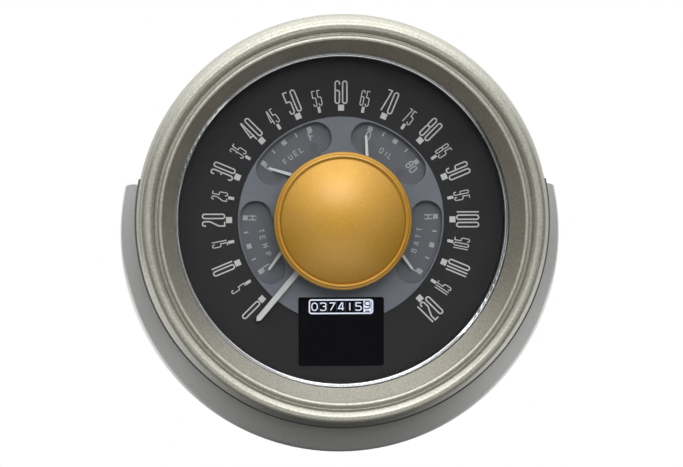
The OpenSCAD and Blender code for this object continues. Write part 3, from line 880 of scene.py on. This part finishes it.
@dataclass
class Studio:
    """Camera, lamp, background and floor.

    Attributes:
        distance: From the camera to the dial.
        azimuth: Direction of the camera, to the right of the face, in degrees.
        elevation: Height of the camera, in degrees.
        frame_width: Width of the picture at the dial: its pixels, each 0.5165 mm.
        target: Middle of the dial.
        image: Size of the picture in pixels.
        centre: Where the middle of the dial falls in the picture.
        sensor: Width of the camera's sensor, in the camera's own millimetres.
        clip: Nearest and farthest that the camera sees.
        key_place: Where the lamp stands, above the camera.
        key_size: Width and height of its soft box.
        key_watts: Its power.
        ground: World light by height; the step lies below the horizon.
        sky: What is added overhead.
        reader: What is added towards the reader.
        gap: Share of it all that is left straight before the face, where the lens mirrors it.
        backdrop: Share of white behind the object, as mirrors and glass see it.
        floor_level: Height of the floor.
        floor_size: Its length and width.
        fibre_mm: Size of the paper's fibres.
        fibre_rough: Least and most roughness of the paper.
        paper: Colour of the paper for its light on the object, and for the camera.
        paper_glow: Strength of the paper's own light in the picture.
        halo: Stretch of the distance from the middle, for the painted glow that gloss sees on the
            floor.
        halo_far: That painted glow by stretched distance: dark near the middle, a painted shadow
            of the object.
        halo_deep: Share of it from front to back.
        strip_deep: Painted light of a bright strip in front, from front to back.
        strip_side: Share of it towards the sides.
    """

    distance: float = 1.5
    azimuth: float = -4.0
    elevation: float = 2.8
    frame_width: float = 683 * 0.5165 * MM
    target: Place = (0.0, -0.042, 0.0)
    image: tuple[int, int] = (683, 467)
    centre: Point = (340.9, 219.6)
    sensor: float = 36.0
    clip: Point = (0.05, 50.0)
    key_place: Place = (0.0, -1.5, 0.62)
    key_size: Point = (0.75, 0.55)
    key_watts: float = 6.6
    ground: Step = ((-0.9, -0.1), (0.05, 0.2))
    sky: Step = ((0.2, 1.0), (0.0, 2.3))
    reader: Step = ((-0.9, -0.4), (0.6, 0.0))
    gap: Step = ((-0.985, -0.95), (0.03, 1.0))
    backdrop: Step = ((0.4, 0.65), (0.0, 1.0))
    floor_level: float = -0.32
    floor_size: float = 2.4
    fibre_mm: float = 3.0
    fibre_rough: Point = (0.7, 0.9)
    paper: tuple[str, str] = ("#303030", "#f2f2f2")
    paper_glow: float = 0.6
    halo: Place = (1.6, 0.75, 1.0)
    halo_far: Step = ((0.1, 0.7), (0.0, 1.15))
    halo_deep: Step = ((-0.25, 0.1), (0.0, 1.0))
    strip_deep: Step = ((-0.5, -0.2), (1.1, 0.0))
    strip_side: Step = ((0.2, 0.42), (1.0, 0.0))

    def build(self) -> None:
        """Builds the studio."""
        self.camera()
        self.lamp()
        self.world()
        self.floor()
        bpy.context.scene.view_settings.view_transform = "Standard"

    def camera(self) -> None:
        """Places the camera where the photograph was taken from."""
        data = bpy.data.cameras.new("camera")
        data.sensor_fit = "HORIZONTAL"
        data.sensor_width = self.sensor
        data.lens = self.sensor * self.distance / self.frame_width
        data.clip_start, data.clip_end = self.clip
        wide, high = self.image
        data.shift_x = (wide / 2 - self.centre[0]) / wide
        data.shift_y = (self.centre[1] - high / 2) / wide
        camera = put_in_scene("camera", data)
        a, e = math.radians(self.azimuth), math.radians(self.elevation)
        back = Vector((math.sin(a) * math.cos(e), -math.cos(a) * math.cos(e), math.sin(e)))
        camera.location = Vector(self.target) + back * self.distance
        camera.rotation_euler = (-back).to_track_quat("-Z", "Y").to_euler()
        bpy.context.scene.camera = camera

    def lamp(self) -> None:
        """Adds a wide soft box that looks at the dial."""
        data = bpy.data.lights.new("key_box", "AREA")
        data.shape = "RECTANGLE"
        data.size, data.size_y = self.key_size
        data.energy = self.key_watts
        lamp = put_in_scene("key_box", data)
        lamp.location = self.key_place
        aim = Vector(self.target) - Vector(self.key_place)
        lamp.rotation_euler = aim.to_track_quat("-Z", "Y").to_euler()

    def world(self) -> None:
        """Bright above, dark below and straight before the face, with a white backdrop."""
        world = bpy.data.worlds.new("studio")
        bpy.context.scene.world = world
        tree = empty_tree(world)
        soft = partial(ramp, tree, how="SMOOTHSTEP")
        way = add_node(tree, "TexCoord", {}).outputs["Generated"]
        part = add_node(tree, "SeparateXYZ", {"Vector": way}).outputs
        level = soft(part["Z"], *self.ground)
        level = maths(tree, "ADD", level, soft(part["Z"], *self.sky))
        level = maths(tree, "ADD", level, soft(part["Y"], *self.reader))
        level = maths(tree, "MULTIPLY", level, soft(part["Y"], *self.gap))
        path = add_node(tree, "LightPath", {}).outputs
        mirrored = maths(tree, "MAXIMUM", path["Is Glossy Ray"], path["Is Transmission Ray"])
        backdrop = maths(tree, "MULTIPLY", mirrored, soft(part["Y"], *self.backdrop))
        seen = maths(tree, "MAXIMUM", path["Is Camera Ray"], backdrop)
        inputs = {"Factor": seen, "A": level, "B": 1.0}
        strength = add_node(tree, "Mix", inputs, data_type="FLOAT").outputs["Result"]
        light = add_node(tree, "Background", {"Color": WHITE, "Strength": strength})
        add_node(tree, "OutputWorld", {"Surface": light.outputs[0]})

    def floor(self) -> None:
        """Adds a pale floor below the object, which hangs from the dash panel by its studs; gloss
        sees painted light and a painted shadow on it.
        """
        deselect()
        below = (0.0, 0.0, self.floor_level)
        bpy.ops.mesh.primitive_plane_add(size=self.floor_size, location=below)
        floor = bpy.context.view_layer.objects.active
        floor.name = "floor"
        material = bpy.data.materials.new("white_paper_floor")
        tree = empty_tree(material)
        soft = partial(ramp, tree, how="SMOOTHSTEP")
        place = object_place(tree)
        parts = add_node(tree, "SeparateXYZ", {"Vector": place}).outputs
        wide = add_node(tree, "VectorMath", {0: place, 1: self.halo}, operation="MULTIPLY")
        # Painted light: the dome mirrors a bright strip painted on the floor in front, and the
        # lens, seen askew, doesn't.
        aside = soft(maths(tree, "ABSOLUTE", parts["X"]), *self.strip_side)
        strip = maths(tree, "MULTIPLY", soft(parts["Y"], *self.strip_deep), aside)
        # Painted shadow: gloss sees the floor dark near the middle and towards the front, white
        # farther out.
        far = soft(distance(tree, wide.outputs["Vector"]), *self.halo_far)
        white = maths(tree, "MULTIPLY_ADD", far, soft(parts["Y"], *self.halo_deep), strip)
        path = add_node(tree, "LightPath", {}).outputs
        seen = path["Is Camera Ray"]
        mirrored = maths(tree, "MULTIPLY", path["Is Glossy Ray"], white)
        fibre = noise(tree, place, per_metre(self.fibre_mm))
        inputs = {
            "Base Color": mix_colours(tree, seen, *self.paper),
            "Roughness": soft(fibre, (0.0, 1.0), self.fibre_rough),
            "Emission Color": WHITE,
            "Emission Strength": maths(tree, "MULTIPLY_ADD", seen, self.paper_glow, mirrored),
        }
        end_in_principled(tree, inputs)
        floor.data.materials.append(material)


@dataclass
class Lathe:
    """A piece turned about the dial axis, or wound about it as a thread.

    Attributes:
        name: Name of the piece.
        section: Its closed outline, as distance from the axis and level.
        steps: Faces round the axis.
        turns: How often a thread goes round.
        pitch: How far a thread rises in each turn; 0 for a plain ring.
    """

    name: str
    section: list[Point]
    steps: int = 192
    turns: int = 1
    pitch: float = 0.0

    def build(self) -> Object:
        """Turns the section and smooths it, save where it has corners.

        Returns:
            A mesh that faces -Y.
        """
        line = [(radius, 0.0, level) for radius, level in self.section]
        piece = wires(self.name, [(line, self.section[0][0] > DOUBLED)])
        turn = piece.modifiers.new("turn", "SCREW")
        turn.steps = turn.render_steps = self.steps
        turn.iterations = self.turns
        turn.screw_offset = self.pitch
        turn.use_merge_vertices = True
        turn.merge_threshold = DOUBLED
        bpy.ops.object.modifier_apply(modifier=turn.name)
        with shaping():
            bpy.ops.mesh.remove_doubles(threshold=DOUBLED)
            if self.pitch:
                bpy.ops.mesh.fill_holes(sides=0)
            bpy.ops.mesh.normals_make_consistent(inside=False)
        bpy.ops.object.shade_smooth_by_angle(angle=SMOOTH_ANGLE)
        stand_up(piece)
        return piece


@dataclass
class Shell:
    """Bezel, cowl, housing, cover and their fixings.

    Attributes:
        seal_level: Level of the inner side of the painted seam shade.
        edge_top: Height above the dial axis where the bezel's edge and the painted seam shade
            end.
        seal_r: Radius of the painted seam shade, a grey strip round the bezel's side wall where
            the gap is in shadow.
        seal_w: Width of the painted seam shade.
        seal_t: Thickness of the painted seam shade.
        seal_steps: Straight parts along the painted seam shade.
        taper_mm: Section of the taper beside the roll, as radius and level.
    """

    seal_level: float = 57.8 * MM
    edge_top: float = 21.7 * MM
    seal_r: float = 105.94 * MM
    seal_w: float = 0.72 * MM
    seal_t: float = 2.0 * MM
    seal_steps: int = 160
    taper_mm: tuple[Point, ...] = (
        (103.07, 60.62), (105.0, 60.62), (105.6, 60.02), (104.45, 64.4),
        (103.35, 66.0), (103.2, 65.9), (103.07, 65.1),
    )

    def build(self) -> None:
        """Dresses the shell's nodes and adds its trim and studs."""
        dress_nodes(CHAMPAGNE, "bezel")
        dress_nodes(SILVER, "lower_cowl")
        dress_nodes(ABS_BLACK, "housing_cup", "data_jack")
        dress_nodes(SHEET, "rear_cover")
        dress_nodes(ZINC, "bezel_screws", "cover_screws")
        Studs().build()
        dress_nodes(CONTACT, "jack_contacts")
        self.taper()
        self.seam()

    def taper(self) -> None:
        """Turns the steep taper that leads from the roll's foot to the lip."""
        piece = Lathe("bezel_taper", metres(self.taper_mm)).build()
        dress(piece, CHAMPAGNE)
        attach(piece, CASE)
        LOG.info("piece bezel_taper: %d corners", len(self.taper_mm))

    def seam(self) -> None:
        """Lays a thin grey strip round the bezel's side wall, between the lip and the cowl:
        painted shade for the shadow in the gap there.
        """
        end = math.degrees(math.asin(self.edge_top / self.seal_r))
        line = arc((0.0, 0.0), self.seal_r, 180 - end, 360 + end, self.seal_steps)
        # Painted shade: a grey strip stands for the shadow in the seam.
        shade_strip = Print("painted_seam_shade", self.seal_level, SEAM_SHADE_GREY, "gasket_rubber", self.seal_t)
        shade_strip.strokes.append(Stroke(line, self.seal_w))
        shade_strip.build(CASE)


@dataclass
class Studs:
    """Four threaded studs that hold the pod to the dash panel.

    Attributes:
        core_mm: Section of the core, the neck and the head, as radius and level.
        core_steps: Faces round the core.
        ridge_mm: Section of the thread at its start.
        ridge_steps: Faces in each turn of the thread.
        pitch: Pitch of the thread.
        turns: How often the thread goes round.
        reach: Distance of each stud from the dial axis, along X and along Z.
    """

    core_mm: tuple[Point, ...] = (
        (0.0, -16.0), (1.9, -16.0), (2.1, -15.6), (2.1, -1.2), (2.5, -0.8), (2.5, 0.0),
        (2.8, 0.0), (2.8, 2.5), (6.0, 2.5), (6.0, 4.5), (0.0, 4.5),
    )
    core_steps: int = 48
    ridge_mm: tuple[Point, ...] = ((2.05, -15.65), (2.5, -15.3), (2.5, -15.2), (2.05, -14.85))
    ridge_steps: int = 24
    pitch: float = 0.8 * MM
    turns: int = 17
    reach: float = 50.0 * MM

    def build(self) -> None:
        """Makes one stud with its thread, and copies it to the four corners."""
        core = Lathe("core", metres(self.core_mm), self.core_steps).build()
        section = metres(self.ridge_mm)
        ridge = Lathe("ridge", section, self.ridge_steps, self.turns, self.pitch).build()
        first = join([core, ridge], "stud")
        studs = []
        for across, up in ((1, 1), (-1, 1), (-1, -1), (1, -1)):
            stud = put_in_scene("stud", first.data.copy())
            stud.data.transform(Matrix.Translation((across * self.reach, 0.0, up * self.reach)))
            studs.append(stud)
        bpy.data.objects.remove(first)
        piece = join(studs, "threaded_studs")
        dress(piece, BRASSY)
        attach(piece, CASE)
        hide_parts("dash_studs")
        LOG.info("piece threaded_studs: %d studs", len(studs))


@dataclass
class Dome:
    """Spun gold dome: a shallow cap in a groove, a stepped rim and a neck through the lens.

    Attributes:
        seat: Level of the lens's face, where the rim lies.
        edge: Radius of the cap's edge.
        groove: Level of the cap's edge.
        rise: Height of the cap above its edge.
        rim_mm: Section of the groove and the rim, as radius and height above the lens.
        wall: Thickness of the cap.
        neck: Outer and inner radius of the neck.
        neck_end: Level where the neck ends.
        steps: Straight parts of the section over the cap, and under it.
    """

    seat: float = 57.0 * MM
    edge: float = 32.0 * MM
    groove: float = 58.3 * MM
    rise: float = 7.5 * MM
    rim_mm: tuple[Point, ...] = (
        (32.3, 0.9), (32.85, 0.9), (32.85, 2.0), (33.1, 2.12), (33.5, 2.04), (33.9, 1.84),
        (34.2, 1.55), (34.25, 1.35), (34.45, 1.42), (34.8, 1.32), (35.15, 1.06), (35.4, 0.6),
        (35.5, 0.0),
    )
    wall: float = 1.4 * MM
    neck: Point = (30.0 * MM, 28.0 * MM)
    neck_end: float = 51.9 * MM
    steps: tuple[int, int] = (40, 16)

    def build(self) -> None:
        """Turns the dome in place of the CAD one, with an even pole."""
        ball = (self.edge**2 + self.rise**2) / (2 * self.rise)
        middle = (0.0, self.groove + self.rise - ball)
        cap_end = math.degrees(math.acos(self.edge / ball))
        hollow = ball - self.wall
        hollow_end = math.degrees(math.acos(self.neck[1] / hollow))
        section = arc(middle, ball, 90, cap_end, self.steps[0])
        section += [(radius, self.seat + up) for radius, up in metres(self.rim_mm)]
        section += [(self.neck[0], self.seat), (self.neck[0], self.neck_end)]
        section.append((self.neck[1], self.neck_end))
        section += arc(middle, hollow, hollow_end, 90, self.steps[1])
        piece = Lathe("gold_dome", section).build()
        dress(piece, GOLD)
        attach(piece, CASE)
        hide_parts("dome_cap")
        LOG.info("piece gold_dome: cap of radius %.1f mm", ball / MM)


@dataclass
class Front:
    """Lens, gasket, dome and the rings round the dial."""

    def build(self) -> None:
        """Dresses the nodes in front of the dial and adds the dome."""
        dress_nodes(ACRYLIC, "lens")
        dress_nodes(RUBBER, "lens_gasket")
        Dome().build()
        dress_nodes(ABS_BLACK, "dome_retainer")
        dress_nodes(POLISHED, "trim_ring")
        dress_nodes(WALL_BLACK, "spacer_ring")


@dataclass
class SpeedDial:
    """Black dial plate with the speed scale.

    Attributes:
        level: Level of the plate's face.
        zero_angle: Direction of the zero mark, in degrees.
        per_unit: Degrees that one mile an hour takes.
        top_speed: Last number of the scale.
        step: From one number to the next.
        mark_r: Distance of the marks from the axis.
        mark_long: Length of the marks.
        mark_wide: Width of the marks at the tens, and at the fives.
        foot_r: Distance of the numbers' inner ends from the axis.
        outward: First and last number whose top points outward.
        tens: Alphabet of the tens.
        fives: Alphabet of the fives.
    """

    level: float = 42.0 * MM
    zero_angle: float = 225.0
    per_unit: float = -2.25
    top_speed: int = 120
    step: int = 5
    mark_r: float = 57.8 * MM
    mark_long: float = 3.1 * MM
    mark_wide: Point = (3.1 * MM, 1.5 * MM)
    foot_r: float = 59.7 * MM
    outward: tuple[int, int] = (20, 100)
    tens: Lettering = Lettering(12.1 * MM, 2.9 * MM, 0.7 * MM, 0.95 * MM)
    fives: Lettering = Lettering(8.2 * MM, 2.0 * MM, 0.48 * MM, 0.75 * MM)

    def build(self) -> None:
        """Dresses the plate and prints its scale."""
        dress_nodes(DIAL_BLACK, "dial_ring")
        ink = Print("speed_scale_print", self.level, INK_WHITE, "pointer_silver")
        first, last = self.outward
        for speed in range(0, self.top_speed + 1, self.step):
            five = speed % (2 * self.step) != 0
            letters = self.fives if five else self.tens
            angle = self.zero_angle + self.per_unit * speed
            ink.bar(polar(self.mark_r, angle), self.mark_wide[five], self.mark_long, angle)
            top = Top.OUTWARD if first <= speed <= last else Top.INWARD
            centre = polar(self.foot_r + letters.height / 2, angle)
            ink.strokes += letters.lay(str(speed), centre, angle + top.value)
        ink.build(CASE)


@dataclass(frozen=True)
class Scale:
    """One small scale.

    Attributes:
        marks: Directions of the five marks, in degrees.
        ends: Text at the two ends, and its direction.
        word: Each letter of the scale's name and its direction.
        top: Where the letters' tops point.
        lamps: Direction of each telltale spot, and its distance in mm.
    """

    marks: tuple[float, ...]
    ends: tuple[tuple[str, float], ...]
    word: tuple[tuple[str, float], ...]
    top: Top
    lamps: tuple[Point, ...]


@dataclass
class SmallScales:
    """Raised inner dial and the recessed plate with four small scales.

    Attributes:
        level: Level of the recessed plate's face.
        mark_r: Distance of the marks from the axis.
        broad: Width and length of the first mark, and of each second one after it.
        slim: Width and length of the marks between those.
        end_r: Distance of the end letters.
        word_r: Distance of the names.
        end_letters: Alphabet of the end letters.
        word_letters: Alphabet of the names.
        spot_r: Radius of a telltale spot.
        spot_sides: Straight parts of its edge.
        film_t: Thickness of its film.
        scales: Fuel, oil, temperature and battery.
    """

    level: float = 38.5 * MM
    mark_r: float = 49.3 * MM
    broad: Point = (2.5 * MM, 2.5 * MM)
    slim: Point = (0.7 * MM, 2.3 * MM)
    end_r: float = 45.6 * MM
    word_r: float = 41.4 * MM
    end_letters: Lettering = Lettering(4.6 * MM, 2.6 * MM, 0.6 * MM, 0.45 * MM)
    word_letters: Lettering = Lettering(3.0 * MM, 2.0 * MM, 0.42 * MM, 0.4 * MM)
    spot_r: float = 2.3 * MM
    spot_sides: int = 32
    film_t: float = 0.02 * MM
    scales: tuple[Scale, ...] = (
        Scale(
            (143.9, 134.6, 126.4, 117.9, 109.2),
            (("E", 144.0), ("F", 109.4)),
            (("F", 133.5), ("U", 128.8), ("E", 124.2), ("L", 119.6)),
            Top.OUTWARD,
            ((110.4, 39.8), (145.5, 39.5)),
        ),
        Scale(
            (71.8, 63.2, 54.9, 46.3, 37.1),
            (("0", 71.7), ("80", 36.4)),
            (("O", 59.2), ("I", 55.2), ("L", 51.6)),
            Top.OUTWARD,
            ((37.9, 39.3),),
        ),
        Scale(
            (178.9, 187.7, 196.2, 204.5, 213.0),
            (("H", 178.9), ("L", 213.0)),
            (("T", 188.0), ("E", 193.0), ("M", 199.0), ("P", 205.4)),
            Top.INWARD,
            ((214.5, 38.6),),
        ),
        Scale(
            (1.6, -7.3, -15.8, -24.0, -33.4),
            (("H", 1.5), ("L", -33.4)),
            (("B", -23.2), ("A", -17.7), ("T", -12.4), ("T", -7.4)),
            Top.INWARD,
            ((-35.0, 38.6),),
        ),
    )

    def build(self) -> None:
        """Dresses the plates and prints the four scales."""
        dress_nodes(DIAL_GREY, "inner_dial")
        dress_nodes(SUB_GREY, "sub_dial")
        ink = Print("small_scale_print", self.level, INK_GREY, "pointer_silver")
        for scale in self.scales:
            self.draw(scale, ink)
        ink.build(CASE)
        self.spots()

    def draw(self, scale: Scale, ink: Print) -> None:
        """Draws one scale.

        Args:
            scale: The scale.
            ink: What it is printed with.
        """
        for i, angle in enumerate(scale.marks):
            ink.bar(polar(self.mark_r, angle), *(self.slim if i % 2 else self.broad), angle)
        for texts, radius, letters in (
            (scale.ends, self.end_r, self.end_letters),
            (scale.word, self.word_r, self.word_letters),
        ):
            for text, angle in texts:
                ink.strokes += letters.lay(text, polar(radius, angle), angle + scale.top.value)

    def spots(self) -> None:
        """Lays a disc of dark film over each telltale lamp."""
        discs = []
        for angle, radius in (lamp for scale in self.scales for lamp in scale.lamps):
            x, y = polar(radius * MM, angle)
            deselect()
            bpy.ops.mesh.primitive_cylinder_add(
                vertices=self.spot_sides, radius=self.spot_r, depth=self.film_t
            )
            disc = bpy.context.view_layer.objects.active
            disc.matrix_world = Matrix.Translation((x, y, self.level + self.film_t / 2))
            stand_up(disc)
            discs.append(disc)
        film = join(discs, "telltale_film")
        dress(film, FILM)
        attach(film, CASE)
        LOG.info("piece telltale_film: %d spots", len(discs))


@dataclass
class Display:
    """Smoked window with a lit distance counter.

    Attributes:
        level: Level of the window's face.
        middle: Middle of the counter on the dial.
        frame_size: Width and height of the counter's frame, over all.
        frame_line: Width of the frame's line.
        frame_corner: Radius of the frame's corners, as a share of its width.
        pitch: Distance from one digit to the next.
        digits: The digits that stand still.
        letters: Alphabet of the digits.
        rule_size: Width and height of the rules between the digits.
        cell_size: Width and height of the lit cell of the last digit.
        rolling: The last digit and the next, and how high each stands in the cell.
        rolling_lift: How much higher than the lit cell they are printed.
    """

    level: float = 41.8 * MM
    middle: Point = (0.0, -45.0 * MM)
    frame_size: Point = (33.4 * MM, 7.7 * MM)
    frame_line: float = 0.72 * MM
    frame_corner: float = 0.035
    pitch: float = 4.57 * MM
    digits: str = "037415"
    letters: Lettering = Lettering(4.4 * MM, 3.3 * MM, 0.56 * MM, 0.0)
    rule_size: Point = (0.22 * MM, 5.2 * MM)
    cell_size: Point = (4.1 * MM, 5.8 * MM)
    rolling: tuple[tuple[str, float], ...] = (("9", 0.8 * MM), ("0", -4.3 * MM))
    rolling_lift: float = 0.05 * MM

    def build(self) -> None:
        """Dresses the window and draws the counter."""
        dress_nodes(SMOKED, "display_window")
        dress_nodes(ZINC, "display_panel")
        dress_nodes(EPOXY, "display_header")
        lit = Print("counter_frame", self.level, PIXELS, "lamp_white")
        size = tuple(side - self.frame_line for side in self.frame_size)
        corners = [(x, y, self.frame_corner) for x, y in ((0, 0), (1, 0), (1, 1), (0, 1))]
        line = centred(rounded(corners, size, True), size)
        lit.strokes.append(Stroke(line, self.frame_line, True).moved(0.0, self.middle))
        last = self.place(len(self.digits))
        lit.bar(last, *self.cell_size)
        lit.build(CASE)
        rule = Print("counter_rules", self.level, PIXELS_DIM, "lamp_white")
        shown = Print("counter_digits", self.level, PIXELS, "lamp_white")
        for i, digit in enumerate(self.digits):
            rule.bar(self.place(i + 0.5), *self.rule_size)
            shown.strokes += self.letters.lay(digit, self.place(i))
        rule.build(CASE)
        shown.build(CASE)
        level = self.level + self.rolling_lift
        dark = Print("counter_rolling_digit", level, PIXELS_OFF, "smoked_window")
        for digit, rise in self.rolling:
            dark.strokes += self.letters.lay(digit, (last[0], last[1] + rise))
        self.clip(dark.build(CASE))

    def place(self, index: float) -> Point:
        """Middle of a digit's place on the dial; halves are the gaps between digits."""
        return self.middle[0] + (index - len(self.digits) / 2) * self.pitch, self.middle[1]

    def clip(self, piece: Object) -> None:
        """Cuts off what the rolling digit shows above and below its cell.

        Args:
            piece: The rolling digits.
        """
        activate(piece)
        for side in (1.0, -1.0):
            edge = self.middle[1] + side * self.cell_size[1] / 2
            with shaping():
                bpy.ops.mesh.bisect(
                    plane_co=(0.0, 0.0, edge),
                    plane_no=(0.0, 0.0, side),
                    use_fill=True,
                    clear_outer=True,
                )


@dataclass
class Movements:
    """Motors, shafts and pointers of the five gauges.

    Attributes:
        gauges: Names of the gauges, the speedometer first.
    """

    gauges: tuple[str, ...] = ("speed", "fuel", "oil", "temp", "batt")

    def build(self) -> None:
        """Dresses the movements."""
        dress_nodes(CREAM, *(f"{g}_motor" for g in self.gauges))
        dress_nodes(ZINC, *(f"{g}_shaft" for g in self.gauges))
        dress_nodes(POINTER, "speed_pointer", *(f"{g}_needle" for g in self.gauges[1:]))


@dataclass
class Electronics:
    """Light guide, main board and what it carries."""

    def build(self) -> None:
        """Dresses the electronics."""
        dress_nodes(ACRYLIC, "light_guide")
        dress_nodes(MASK, "main_board")
        dress_nodes(ZINC, "board_screws")
        dress_nodes(EPOXY, "board_chips")
        dress_nodes(CAN, "capacitors")
        dress_nodes(CERAMIC, "backlight_lamps", "telltale_lamps")


def main() -> None:
    """Builds the studio and each sub-assembly."""
    logging.basicConfig(level=logging.INFO, format="%(name)s: %(message)s")
    parts = (Studio, Shell, Front, SpeedDial, SmallScales, Display, Movements, Electronics)
    for part in parts:
        part().build()
        LOG.info("built %s", part.__name__)


if __name__ == "__main__":
    main()
